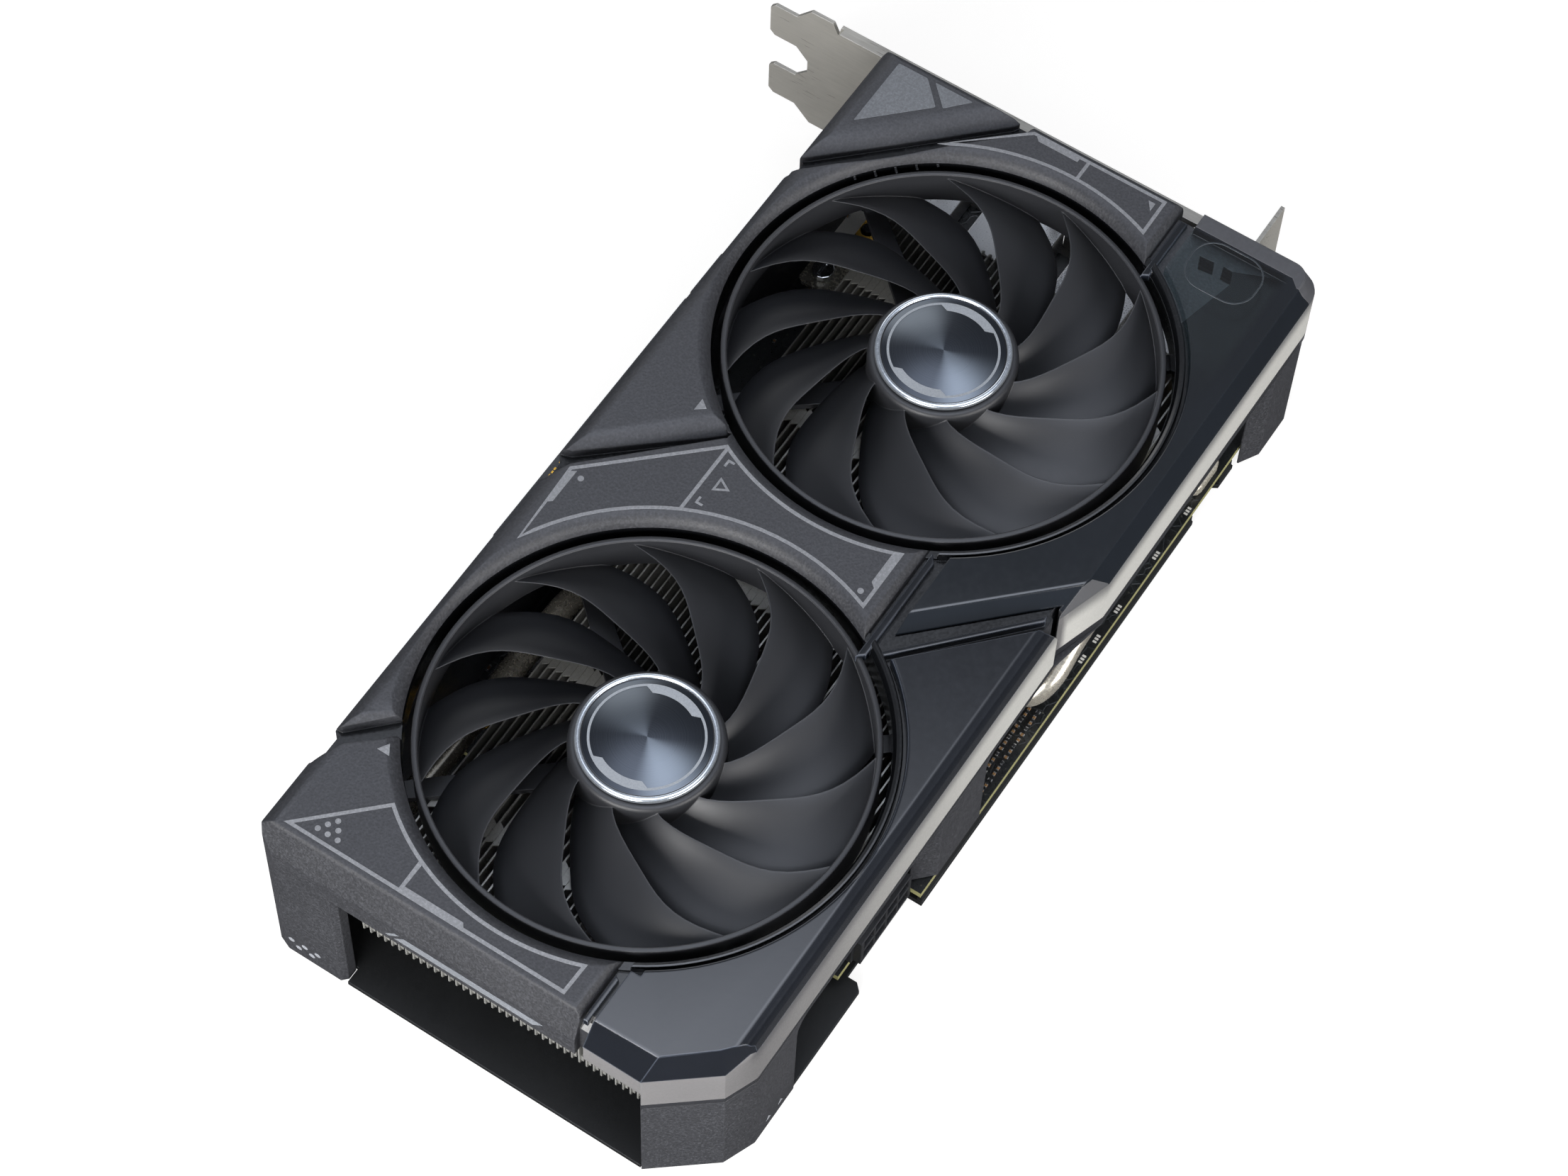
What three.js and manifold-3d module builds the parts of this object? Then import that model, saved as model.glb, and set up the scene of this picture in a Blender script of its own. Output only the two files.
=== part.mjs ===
// Dual-fan graphics card, two and a half slots thick.
// Frame: millimetres, +Z up. The card lies on its rear cover, fans facing up.
// +X runs from the slot bracket to the far end, +Y from the edge connector to the power-plug side.
// The origin is midway between the two fan axes, on the outer face of the rear cover (Z = 0).
// In piece names "front" is the bracket half (-X) and "rear" the far half (+X).
import * as THREE from "three";
import { mergeVertices } from "three/addons/utils/BufferGeometryUtils.js";
import Module from "manifold-3d";

const wasm = await Module();
wasm.setup();

// ---------------------------------------------------------------- driving dimensions
const GAP = 0.3; // working gap between neighbouring pieces

const FAN_X = 53.2; // fan axes at +-FAN_X, Y = 0
const BORE_R = 46.8; // fan opening in the shroud
const MOUTH_R = 48.8; // flared mouth of that opening
const ARM_R = 51.6; // from the fan axis to the end of a fan mount's arm
const ARM_ANGLES = [50, 130, 230, 310];

const TOP = 49.6; // shroud's top plane
const CEILING = 44.8; // underside of the shroud's top
const DECK = 46.6; // recessed deck under the gloss trims
const FAR_X = 110.7; // far end face
const BRACKET_EDGE_X = -110.2; // shroud's bracket-side edge
const FACE_X = -116.5; // slot bracket's outer face
const PLUG_SIDE = 52.4; // power-plug side, far half
const PROUD_SIDE = 55.1; // power-plug side, bracket half, which stands prouder
const SLOT_SIDE = -50.6; // edge-connector side
const TRIM_Y = 22.7; // where the textured top ends and the trims begin
const TRIM_R = 49.4; // trims clear the fan mouths
const BAND_LOW = 29.8; // lower edge of the trims' side bands
const TRIM_CEILING = DECK + 0.35; // underside of the trims' top plates
const WINDOW_Y = 37.4; // power-plug side of the shroud's far-end window

const BOARD_Z0 = 4.3;
const BOARD_Z1 = 5.9;
const PARTS_Z = BOARD_Z1 + GAP; // underside of the parts on the board
const GPU_X = -29;
const GPU_Y = 2;
const PORT_YS = [0, 1, 2, 3].map((i) => -36.5 + i * 22.5); // video port centres
const LEG_SCREW = [-76.4, -42.6];
const TAB_SCREW = [-111.0, -53.8]; // ties the slot bracket's tab to the board
const COVER_SCREWS = [[-95.5, 42], [-95.5, -43], [50, -43.5], [27, 43]];
const fromGpu = ([x, y]) => [GPU_X + x, GPU_Y + y];
const GPU_SCREWS = [[-21.5, -26], [21.5, -26], [21.5, 26], [-21.5, 26]].map(fromGpu);

const FINISH = {
  shroud: { color: 0x3a3b3f, roughness: 0.75 },
  rearTrim: { color: 0x23262c, roughness: 0.15 },
  frontTrim: { color: 0x2a2f35, roughness: 0.1 },
  rotor: { color: 0x2c2d31, roughness: 0.5 },
  hubCap: { color: 0x6d7684, roughness: 0.25, metalness: 1 },
  shaft: { color: 0xb9bcc0, roughness: 0.2, metalness: 1 },
  magnet: { color: 0x2b2a2a, roughness: 0.6, metalness: 0.2 },
  fanMount: { color: 0x17181a, roughness: 0.5 },
  stator: { color: 0xa2673a, roughness: 0.45, metalness: 0.6 },
  bearing: { color: 0xa98b54, roughness: 0.4, metalness: 1 },
  fins: { color: 0xb8b6b0, roughness: 0.35, metalness: 1 },
  copper: { color: 0xb98a66, roughness: 0.3, metalness: 1 },
  nickel: { color: 0xc9c6bd, roughness: 0.3, metalness: 1 },
  board: { color: 0x15191a, roughness: 0.5 },
  substrate: { color: 0x1f4d3c, roughness: 0.5 },
  die: { color: 0x2c2f36, roughness: 0.1, metalness: 0.5 },
  memory: { color: 0x1b1c1e, roughness: 0.5 },
  choke: { color: 0x4a4b4d, roughness: 0.6 },
  capacitor: { color: 0xb7b9bb, roughness: 0.3, metalness: 0.9 },
  crystal: { color: 0xb6b3a8, roughness: 0.35, metalness: 1 },
  plug: { color: 0x141516, roughness: 0.45 },
  header: { color: 0xd8d6cd, roughness: 0.5 },
  cable: { color: 0x1a1a1c, roughness: 0.6 },
  port: { color: 0xb4b3ae, roughness: 0.3, metalness: 1 },
  cover: { color: 0x1a1b1d, roughness: 0.5, metalness: 0.3 },
  spring: { color: 0xa9abae, roughness: 0.35, metalness: 1 },
  greyScrew: { color: 0x8d8f92, roughness: 0.35, metalness: 1 },
  darkScrew: { color: 0x2a2b2d, roughness: 0.35, metalness: 1 },
  brightScrew: { color: 0xb9bbbe, roughness: 0.3, metalness: 1 },
};

// ---------------------------------------------------------------- outline helpers
const { degToRad } = THREE.MathUtils;
const vectors = (points) => points.map(([x, y]) => new THREE.Vector2(x, y));

// angles in degrees
const arc = (centreX, centreY, radius, start, end, steps) =>
  Array.from({ length: steps + 1 }, (_, i) => {
    const angle = degToRad(start + ((end - start) * i) / steps);
    return [centreX + radius * Math.cos(angle), centreY + radius * Math.sin(angle)];
  });
const circle = (centreX, centreY, radius, steps) =>
  arc(centreX, centreY, radius, 0, 360, steps).slice(0, steps);
const roundRect = (x0, x1, y0, y1, radius, steps) => [
  ...arc(x1 - radius, y0 + radius, radius, -90, 0, steps),
  ...arc(x1 - radius, y1 - radius, radius, 0, 90, steps),
  ...arc(x0 + radius, y1 - radius, radius, 90, 180, steps),
  ...arc(x0 + radius, y0 + radius, radius, 180, 270, steps),
];
// turns [distance along, distance across] a spoke from (x, y) into [X, Y]; angle in radians
const spoke = (x, y, angle) => ([along, across]) => [
  x + along * Math.cos(angle) - across * Math.sin(angle),
  y + along * Math.sin(angle) + across * Math.cos(angle),
];

// ---------------------------------------------------------------- solid helpers
const cut = (body, ...tools) => tools.reduce((rest, tool) => rest.subtract(tool), body);
const fuse = (body, ...parts) => parts.reduce((whole, part) => whole.add(part), body);

// welds a closed geometry's vertices and drops its degenerate triangles
function solid(geometry) {
  for (const name of Object.keys(geometry.attributes))
    if (name !== "position") geometry.deleteAttribute(name);
  const welded = mergeVertices(geometry, 1e-4);
  const index = welded.index.array;
  const triangles = [];
  for (let i = 0; i < index.length; i += 3) {
    const [a, b, c] = index.subarray(i, i + 3);
    if (a !== b && b !== c && a !== c) triangles.push(a, b, c);
  }
  return new wasm.Manifold(
    new wasm.Mesh({
      numProp: 3,
      vertProperties: new Float32Array(welded.attributes.position.array),
      triVerts: new Uint32Array(triangles),
    }),
  );
}

function extrude(points, depth) {
  const outline = vectors(points);
  if (THREE.ShapeUtils.area(outline) < 0) outline.reverse();
  return new THREE.ExtrudeGeometry(new THREE.Shape(outline), { depth, bevelEnabled: false });
}
const prism = (points, z0, z1) => solid(extrude(points, z1 - z0).translate(0, 0, z0));
// profile in (Y, Z), swept along X
const YZ_PLANE = new THREE.Matrix4().set(0, 0, 1, 0, 1, 0, 0, 0, 0, 1, 0, 0, 0, 0, 0, 1);
const prismX = (points, x0, x1) =>
  solid(extrude(points, x1 - x0).applyMatrix4(YZ_PLANE).translate(x0, 0, 0));
// profile in (X, Z), swept along Y
const XZ_PLANE = new THREE.Matrix4().set(1, 0, 0, 0, 0, 0, -1, 0, 0, 1, 0, 0, 0, 0, 0, 1);
const prismY = (points, y0, y1) =>
  solid(extrude(points, y1 - y0).applyMatrix4(XZ_PLANE).translate(0, y1, 0));

const box = (x0, x1, y0, y1, z0, z1) =>
  solid(
    new THREE.BoxGeometry(x1 - x0, y1 - y0, z1 - z0)
      .translate((x0 + x1) / 2, (y0 + y1) / 2, (z0 + z1) / 2),
  );
// cylinder along Z, or a cone when the top radius differs
const rod = (radius, z0, z1, x, y, segments, topRadius = radius) =>
  solid(
    new THREE.CylinderGeometry(topRadius, radius, z1 - z0, segments)
      .rotateX(Math.PI / 2)
      .translate(x, y, (z0 + z1) / 2),
  );
// closed anticlockwise profile of [radius, z], turned about Z
const turned = (profile, segments, x = 0, y = 0) =>
  solid(
    new THREE.LatheGeometry(vectors([...profile, profile[0]]), segments).rotateX(Math.PI / 2),
  ).translate([x, y, 0]);
const sleeve = (inner, outer, z0, z1, segments, x = 0) =>
  turned([[inner, z0], [outer, z0], [outer, z1], [inner, z1]], segments, x);

const polyhedron = (triangles) =>
  solid(
    new THREE.BufferGeometry()
      .setAttribute("position", new THREE.Float32BufferAttribute(triangles.flat(2), 3)),
  );
// straight-sided solid between two anticlockwise outlines with the same number of points
function loft(low, z0, high, z1) {
  const lower = low.map(([x, y]) => [x, y, z0]);
  const upper = high.map(([x, y]) => [x, y, z1]);
  const fill = (points) => THREE.ShapeUtils.triangulateShape(vectors(points), []);
  const triangles = [
    ...fill(low).map(([a, b, c]) => [lower[a], lower[c], lower[b]]),
    ...fill(high).map(([a, b, c]) => [upper[a], upper[b], upper[c]]),
  ];
  for (let i = 0; i < low.length; i++) {
    const j = (i + 1) % low.length;
    triangles.push([lower[i], lower[j], upper[j]], [lower[i], upper[j], upper[i]]);
  }
  return polyhedron(triangles);
}
// round bar with closed ends along a smooth curve
function tube(points, radius, steps, segments) {
  const stations = points.map((point) => new THREE.Vector3(...point));
  const extrudePath = new THREE.CatmullRomCurve3(stations, false, "centripetal");
  const section = new THREE.Shape(vectors(circle(0, 0, radius, segments)));
  return solid(new THREE.ExtrudeGeometry(section, { steps, bevelEnabled: false, extrudePath }));
}
// upright screw: head and shank are [radius, z0, z1], slot is [half length, z0, z1]
function screw([x, y], head, shank, [slotHalf, slotZ0, slotZ1]) {
  return rod(...head, x, y, 12)
    .add(rod(...shank, x, y, 8))
    .subtract(box(x - slotHalf, x + slotHalf, y - 0.3, y + 0.3, slotZ0, slotZ1));
}

const group = new THREE.Group();
function add(name, body, finish, parent = group) {
  const { numVert, numProp, vertProperties, triVerts } = body.getMesh();
  const positions = new Float32Array(numVert * 3);
  for (let i = 0; i < numVert; i++)
    positions.set(vertProperties.subarray(i * numProp, i * numProp + 3), i * 3);
  const geometry = new THREE.BufferGeometry()
    .setAttribute("position", new THREE.BufferAttribute(positions, 3))
    .setIndex(new THREE.BufferAttribute(new Uint32Array(triVerts), 1));
  geometry.computeVertexNormals();
  const mesh = new THREE.Mesh(geometry, new THREE.MeshStandardMaterial(finish));
  mesh.name = name;
  parent.add(mesh);
}
const addEach = (prefix, places, build, finish) =>
  places.forEach((place, i) => add(`${prefix}_${i + 1}`, build(place), finish));

// ---------------------------------------------------------------- shroud
// outlines in [X, Y]
const SHROUD_OUTLINE = [
  [BRACKET_EDGE_X, -49.2], [-108.8, SLOT_SIDE], [109.2, SLOT_SIDE], [FAR_X, -49.1],
  [FAR_X, WINDOW_Y], [100.9, 49.6], [94.1, PLUG_SIDE], [-12.4, PLUG_SIDE],
  [-26.4, PROUD_SIDE], [-107.2, PROUD_SIDE], [BRACKET_EDGE_X, 52.0],
];
const SHROUD_CAVITY = [
  [-106.5, -48.4], [107.2, -48.4], [107.2, 35.6], [98.6, 46.4], [92.8, 48.4], [-106.5, 48.4],
];
const BAND_BACKING = [ // what stays standing behind the trims' side bands
  [-108.3, TRIM_Y - 1], [108.8, TRIM_Y - 1], [108.8, 36.6], [99.7, 47.8], [93.5, 50.5],
  [-12.6, 50.5], [-13.4, 49.4], [-16, 49.4], [-27, 50.5], [-108.3, 50.5],
];
const GROOVE_DEPTH = 3.6;
const GROOVES = [ // sunken into the textured top
  [
    [-112, -12.6], [-107.2, -13.9], [-74.6, -46.6], [-70.8, -52],
    [-75.6, -52], [-78.4, -48.6], [-109.0, -17.4], [-112, -16.0],
  ],
  [
    [-12.6, -24.2], [-10.4, -24.0], [11.9, -46.3], [17.2, -49.0],
    [17.2, -52], [10.0, -52], [8.6, -48.2],
  ],
  [
    [78.6, -38.6], [82.2, -40.6], [87.2, -46.4], [93.4, -49.6],
    [93.4, -52], [84.4, -52], [84.0, -49.2], [75.8, -41.2],
  ],
];
// X of each wall notch: outer start, inner start, inner end, outer end
const NOTCHES = [[-79.4, -77.2, -71.6, -69.8], [8.2, 10.4, 16.0, 17.6], [83.4, 85.0, 92.4, 94.2]];
// power-plug side openings under the band, in [X, Z]
const SIDE_OPENINGS = [
  [[-92, -1], [12.9, -1], [12.4, 24.0], ...arc(9.0, 25.8, 3.5, 0, 90, 3), [-92, 29.3]],
  [[33.0, -1], [80.5, -1], [80.3, 24.6], ...arc(76.2, 25.3, 4.0, 0, 90, 3), [33.0, 29.3]],
];
// slanted bracket-side ends of those openings, in [X, Y]
const OPENING_ENDS = [
  [[-96.8, 60], [-96.8, 55.3], [-91.4, 52.2], [-91.4, 46], [-80, 46], [-80, 60]],
  [[28.5, 60], [28.5, 52.5], [33.4, 47.8], [34, 46], [40, 46], [40, 60]],
];

// column over the far-end window, where shroud and trim keep the window's full width
const windowColumn = (top) => box(100, 122, -60, WINDOW_Y, 0, top);

function shroudShell() {
  const farChamfer = [[-120, 0], [FAR_X, 0], [FAR_X, 42.0], [108.0, TOP], [-120, TOP]];
  const slotRounding = [
    [60, 0], [60, TOP], ...arc(SLOT_SIDE + 4, TOP - 4, 4, 90, 180, 5), [SLOT_SIDE, 0],
  ];
  const body = prism(SHROUD_OUTLINE, 0.3, TOP)
    .intersect(prismY(farChamfer, -60, 60))
    .intersect(prismX(slotRounding, -120, 120));
  return cut(
    body,
    prism(SHROUD_CAVITY, -1, CEILING),
    // the slot side wall clears the circuit board and runs to the bottom only past its end
    box(-120, 60.5, -60, -47.5, -1, 7.0),
    // the bracket end is open below the top rim
    box(-120, -106, -60, 48.0, -1, 38.0),
  );
}
function cutTrimRecess(shroud) {
  const rebate = prism(
    [[-121, TRIM_Y], [121, TRIM_Y], [121, 62], [-121, 62]], BAND_LOW - GAP, 60,
  ).subtract(prism(BAND_BACKING, 19, 61));
  return cut(
    shroud,
    rebate.subtract(windowColumn(35.8)),
    box(-121, 121, TRIM_Y, 62, DECK, 60),
    prismY([[109.6, 43.6], [109.6, 48], [104.6, 48]], TRIM_Y, 60), // slope under trim's chamfer
  );
}
// flared opening with a collar round the rotor, and a boss over each arm end of the fan mount
function addFanOpening(shroud, x) {
  const opened = cut(
    shroud.add(sleeve(BORE_R, 48.9, 40, 46.3, 48, x)),
    rod(BORE_R, 39, 60, x, 0, 48),
    rod(BORE_R, 46.4, TOP + 0.2, x, 0, 48, MOUTH_R + 0.1),
  );
  const bosses = ARM_ANGLES.map((angle) => {
    const [bossX, bossY] = spoke(x, 0, degToRad(angle))([ARM_R, 0]);
    return rod(2.6, 36.2, CEILING + 0.5, bossX, bossY, 8);
  });
  return fuse(opened, ...bosses);
}
function buildShroud() {
  let shroud = cutTrimRecess(shroudShell());
  for (const x of [-FAN_X, FAN_X]) shroud = addFanOpening(shroud, x);
  return cut(
    shroud,
    ...GROOVES.map((groove) => prism(groove, TOP - GROOVE_DEPTH, TOP + 2)),
    // the grooves run on into the slot-side wall as shallow notches
    ...NOTCHES.map(([outer0, inner0, inner1, outer1]) =>
      prism([[outer0, -53], [inner0, -49.3], [inner1, -49.3], [outer1, -53]], 30, TOP + 2)),
    box(100, 120, -32.8, 37.3, -1, 36.1), // far-end window, open down to the rear cover
    ...SIDE_OPENINGS.map((opening) => prismY(opening, 46.0, 60)),
    ...OPENING_ENDS.map((end) => prism(end, -1, 29.3)),
    box(10, 35, 46, 60, -1, 6.3),
    box(-120, -85, 46, 52.25, -1, 26.0), // the corner leg is a thin wall outside the board
  );
}
add("fan_shroud", buildShroud(), FINISH.shroud);

// ---------------------------------------------------------------- gloss trims
// each outline in [X, Y], at the foot of the bevel and at the top plane
const REAR_TRIM_LOW = [
  [15.9, 26.9], [96, 26.9], [96, 24.6], [FAR_X, 24.6], [FAR_X, WINDOW_Y], [100.9, 49.6],
  [94.1, PLUG_SIDE], [-12.0, PLUG_SIDE], [-10.2, 51.0],
];
const REAR_TRIM_HIGH = [
  [16.4, 27.5], [96, 27.5], [96, 25.4], [107.9, 25.4], [107.5, 39.3], [100.3, 47.9],
  [95.4, 51.4], [-7.6, 51.4], [-7.6, 50.3],
];
const REAR_TRIM_HOLLOW = [
  [-30, -60], [109.1, -60], [109.1, 36.9], [99.9, 48.2], [93.7, 50.85], [-30, 50.85],
];
const FRONT_TRIM_LOW = [
  [-112.2, 26.8], [11.2, 26.8], [-13.4, 50.9], [-26.4, PROUD_SIDE],
  ...arc(-107.2, 50.1, 5.0, 90, 180, 5),
];
const FRONT_TRIM_HIGH = [
  [-110.5, 27.3], [3.2, 27.3], [-21.4, 52.2], [-23.0, 52.6],
  ...arc(-106.9, 49.0, 3.6, 90, 180, 5),
];
const FRONT_TRIM_HOLLOW = [
  [-108.6, -60], [60, -60], [60, 49.0], [-14, 50.0],
  [-26.4, 53.4], [-106.6, 53.4], [-108.6, 51.4],
];
const SEAM_CLEARANCE = [[-15.2, 40], [30, 10], [30, 60], [-13.0, 60], [-13.0, 51.2], [-15.2, 51.0]];

const trimBlank = (low, high, bevelZ) =>
  prism(low, BAND_LOW, bevelZ).add(loft(low, bevelZ, high, TOP));
const fanClearance = (x) => rod(TRIM_R, 20, 60, x, 0, 64);

// from the diagonal seam round the far corner
function buildRearTrim() {
  // the hollow slopes with the chamfer so that the wall keeps its thickness
  const slope = prismY([[110.2, 43.6], [110.2, 48.6], [104.5, 48.6]], -70, 70);
  return cut(
    trimBlank(REAR_TRIM_LOW, REAR_TRIM_HIGH, 41.8),
    prism(REAR_TRIM_HOLLOW, 20, TRIM_CEILING).subtract(slope),
    fanClearance(FAN_X),
    windowColumn(36.4),
  );
}
function buildFrontTrim() {
  return cut(
    trimBlank(FRONT_TRIM_LOW, FRONT_TRIM_HIGH, 44.8),
    prism(FRONT_TRIM_HOLLOW, 20, TRIM_CEILING),
    // the band ends at the seam; only the top plate goes on towards the middle
    prism(SEAM_CLEARANCE, 20, TRIM_CEILING),
    fanClearance(-FAN_X),
    fanClearance(FAN_X),
  );
}
add("rear_trim", buildRearTrim(), FINISH.rearTrim);
add("front_trim", buildFrontTrim(), FINISH.frontTrim);

// ---------------------------------------------------------------- fans
const BLADES = 11;
const RING_R = 45.0; // outside radius of the rotor's ring
const RING_TOP = 47.3;
const CAP_TOP = 48.0;
const MOUNT_Z0 = 34.2;
const MOUNT_Z1 = 35.7;
const BLADE_RADII = [14.4, 20, 27, 35.5, 44.3];
const BLADE_ROOT_R = BLADE_RADII[0];
const BLADE_SPAN = BLADE_RADII.at(-1) - BLADE_ROOT_R;
const CHORD_STEPS = 2;
// angle of the blade's raised edge: [radius, degrees]
const SWEEP = [
  [14.2, -47], [15.6, -45.4], [22, -29.4], [26, -24.2],
  [31.2, -18.4], [35.2, -13.0], [39.7, -6.9], [44.3, 1.4],
];
function sweepAt(radius) {
  let i = 0;
  while (i < SWEEP.length - 2 && SWEEP[i + 1][0] < radius) i++;
  const [[r0, angle0], [r1, angle1]] = SWEEP.slice(i, i + 2);
  return angle0 + ((angle1 - angle0) * (radius - r0)) / (r1 - r0);
}
// point on the blade's upper (side 1) or lower (side -1) skin
function bladePoint(radius, step, turn, side) {
  const outward = (radius - BLADE_ROOT_R) / BLADE_SPAN;
  const across = step / CHORD_STEPS;
  const chordAngle = 33 - 6.5 * outward;
  const angle = degToRad(turn + sweepAt(radius) - across * chordAngle);
  const middle = 45.4 + 0.6 * outward - 7.2 * Math.pow(across, 0.9);
  const halfThickness = step === 0 || step === CHORD_STEPS ? 0.35 : 0.6;
  return [radius * Math.cos(angle), radius * Math.sin(angle), middle + halfThickness * side];
}
function blade(turn) {
  const skin = (side) =>
    BLADE_RADII.map((radius) =>
      Array.from({ length: CHORD_STEPS + 1 }, (_, k) => bladePoint(radius, k, turn, side)));
  const upper = skin(1);
  const lower = skin(-1);
  const triangles = [];
  const quad = (a, b, c, d) => triangles.push([a, c, b], [a, d, c]);
  const tip = BLADE_RADII.length - 1;
  const end = CHORD_STEPS;
  for (let i = 0; i < tip; i++) {
    for (let k = 0; k < end; k++) {
      quad(upper[i][k], upper[i + 1][k], upper[i + 1][k + 1], upper[i][k + 1]);
      quad(lower[i][k], lower[i][k + 1], lower[i + 1][k + 1], lower[i + 1][k]);
    }
    quad(lower[i][0], lower[i + 1][0], upper[i + 1][0], upper[i][0]);
    quad(upper[i][end], upper[i + 1][end], lower[i + 1][end], lower[i][end]);
  }
  for (let k = 0; k < end; k++) {
    quad(upper[0][k], upper[0][k + 1], lower[0][k + 1], lower[0][k]);
    quad(upper[tip][k + 1], upper[tip][k], lower[tip][k], lower[tip][k + 1]);
  }
  return polyhedron(triangles);
}
function buildRotor(phase) {
  const ring = [
    [43.7, 38.4], [RING_R, 38.4], [RING_R, RING_TOP - 0.3], [44.7, RING_TOP], [43.7, RING_TOP],
  ];
  const hub = [
    [0, 45.0], [13.3, 45.0], [13.3, 36.6], [15.4, 36.6], [15.4, 45.6], [14.6, 46.6], [0, 46.6],
  ];
  const blades = Array.from({ length: BLADES }, (_, i) => blade(phase + (360 * i) / BLADES));
  return fuse(turned(ring, 44), turned(hub, 22), ...blades);
}
// disc with a bearing post, carried by four tapering arms
function buildFanMount(x) {
  let mount = rod(12.6, MOUNT_Z0, MOUNT_Z1, x, 0, 20).add(sleeve(3.4, 4.6, MOUNT_Z0, 43.6, 12, x));
  for (const angle of ARM_ANGLES) {
    const place = spoke(x, 0, degToRad(angle));
    const arm = [[9, -3], [ARM_R, -1.8], [ARM_R, 1.8], [9, 3]].map(place);
    mount = fuse(
      mount,
      prism(arm, MOUNT_Z0, MOUNT_Z1),
      rod(2.8, MOUNT_Z0, MOUNT_Z1, ...place([ARM_R, 0]), 8),
    );
  }
  return mount.subtract(rod(1.9, 30, 34.9, x, 0, 8));
}
function buildStator(x) {
  const pole = [ // [along, across] the spoke
    [5.6, -1.5], [9.2, -1.9], [9.2, -3.6], [10.6, -3.2],
    [10.6, 3.2], [9.2, 3.6], [9.2, 1.9], [5.6, 1.5],
  ];
  const poles = Array.from({ length: 6 }, (_, i) =>
    prism(pole.map(spoke(x, 0, (i * Math.PI) / 3)), 37.8, 42.6));
  return fuse(sleeve(4.9, 6.6, 37.2, 43.4, 12, x), ...poles);
}
function addFan(tag, x, phase) {
  const spin = new THREE.Group(); // the turning pieces, about the fan axis
  spin.position.set(x, 0, 0);
  group.add(spin);
  const cap = [[0, 46.9], [14.0, 46.9], [14.0, 47.7], [13.7, CAP_TOP], [0, CAP_TOP]];
  add("fan_rotor_" + tag, buildRotor(phase), FINISH.rotor, spin);
  add("hub_cap_" + tag, turned(cap, 32), FINISH.hubCap, spin);
  add("fan_shaft_" + tag, rod(1.5, 37.0, 44.7, 0, 0, 12), FINISH.shaft, spin);
  add("magnet_ring_" + tag, sleeve(11.4, 13.0, 37.4, 44.6, 22), FINISH.magnet, spin);
  add("fan_mount_" + tag, buildFanMount(x), FINISH.fanMount);
  add("stator_" + tag, buildStator(x), FINISH.stator);
  add("bearing_" + tag, sleeve(1.8, 3.1, 36.1, 43.4, 10, x), FINISH.bearing);
}
addFan("front", -FAN_X, 14.0);
addFan("rear", FAN_X, 20.7);

// ---------------------------------------------------------------- cooler
const FIN_X0 = -88;
const FIN_X1 = 105.4;
const FIN_Y0 = -31;
const FIN_Y1 = 43.6;
const FIN_Z0 = 17.2;
const FIN_Z1 = 33.8;
const FIN_PITCH = 1.68;
const FIN_T = 0.4;
const FIN_STAGGER = 0.0005; // every other fin reaches this much lower
const PIPE_R = 2.8;
const PIPE_Z = 13.7;

// fins on edge, standing on a thin base plate
function buildFins() {
  const last = Math.floor((FIN_Y1 - FIN_Y0) / FIN_PITCH);
  const stackEnd = FIN_Y0 + last * FIN_PITCH + FIN_T;
  let fins = box(FIN_X0 + 4, FIN_X1 - 6, FIN_Y0, stackEnd, FIN_Z0, FIN_Z0 + 0.6);
  for (let i = 0; i <= last; i++) {
    const y = FIN_Y0 + i * FIN_PITCH;
    fins = fins.add(box(FIN_X0, FIN_X1, y, y + FIN_T, FIN_Z0 - FIN_STAGGER * (i % 2), FIN_Z1));
  }
  return fins.subtract(prism([[107.0, 34.2], [107.0, 46], [97.6, 46]], 0, 60)); // far corner
}
add("fin_stack", buildFins(), FINISH.fins);
const coldPlate = roundRect(GPU_X - 17, GPU_X + 21, GPU_Y - 22, GPU_Y + 22, 2, 2);
add("cold_plate", prism(coldPlate, 8.5, 10.6), FINISH.copper);

// steps along the pipe, then its centre line in [X, Y, Z]
const HEAT_PIPES = [
  [22, [
    [-12, -9, PIPE_Z], [-12, 10, PIPE_Z], [-12, 30, PIPE_Z], [-12, 44, PIPE_Z], [-12.6, 48, 14.4],
    [-16, 50.2, 17.5], [-24, 50.4, 21.5], [-36, 50.3, 23], [-78, 50.3, 23],
  ]],
  [22, [
    [-19.5, 20, PIPE_Z], [-19.5, 0, PIPE_Z], [-17.5, -16, PIPE_Z], [-11, -28, PIPE_Z],
    [0, -35.6, 14.4], [12, -36.6, 19], [26, -36.6, 26], [38, -36.6, 27.6], [92, -36.6, 27.6],
  ]],
  [12, [
    [-27, -18, PIPE_Z], [-27, 10, PIPE_Z], [-31, 22, PIPE_Z],
    [-42, 28, PIPE_Z], [-60, 28.5, PIPE_Z], [-86, 28.5, PIPE_Z],
  ]],
  [12, [
    [-34.5, 13, PIPE_Z], [-34.5, -6, PIPE_Z], [-38.5, -18, PIPE_Z],
    [-50, -23.6, PIPE_Z], [-64, -24, PIPE_Z], [-86, -24, PIPE_Z],
  ]],
];
const heatPipe = ([steps, path]) => tube(path, PIPE_R, steps, 8);
addEach("heat_pipe", HEAT_PIPES, heatPipe, FINISH.nickel);

// plated leg that ties the cooler's bracket end to the board
function buildLeg() {
  const [x, y] = LEG_SCREW;
  return prism(roundRect(x - 4.2, x + 4.2, -46.6, -28.0, 1.2, 2), 11.4, 12.6)
    .add(box(x - 3.6, x + 3.6, -33, -29, 12.0, 16.8))
    .add(rod(2.6, 6.3, 11.6, x, y, 10))
    .subtract(rod(1.5, 5, 13, x, y, 8));
}
add("cooler_leg", buildLeg(), FINISH.nickel);

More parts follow.
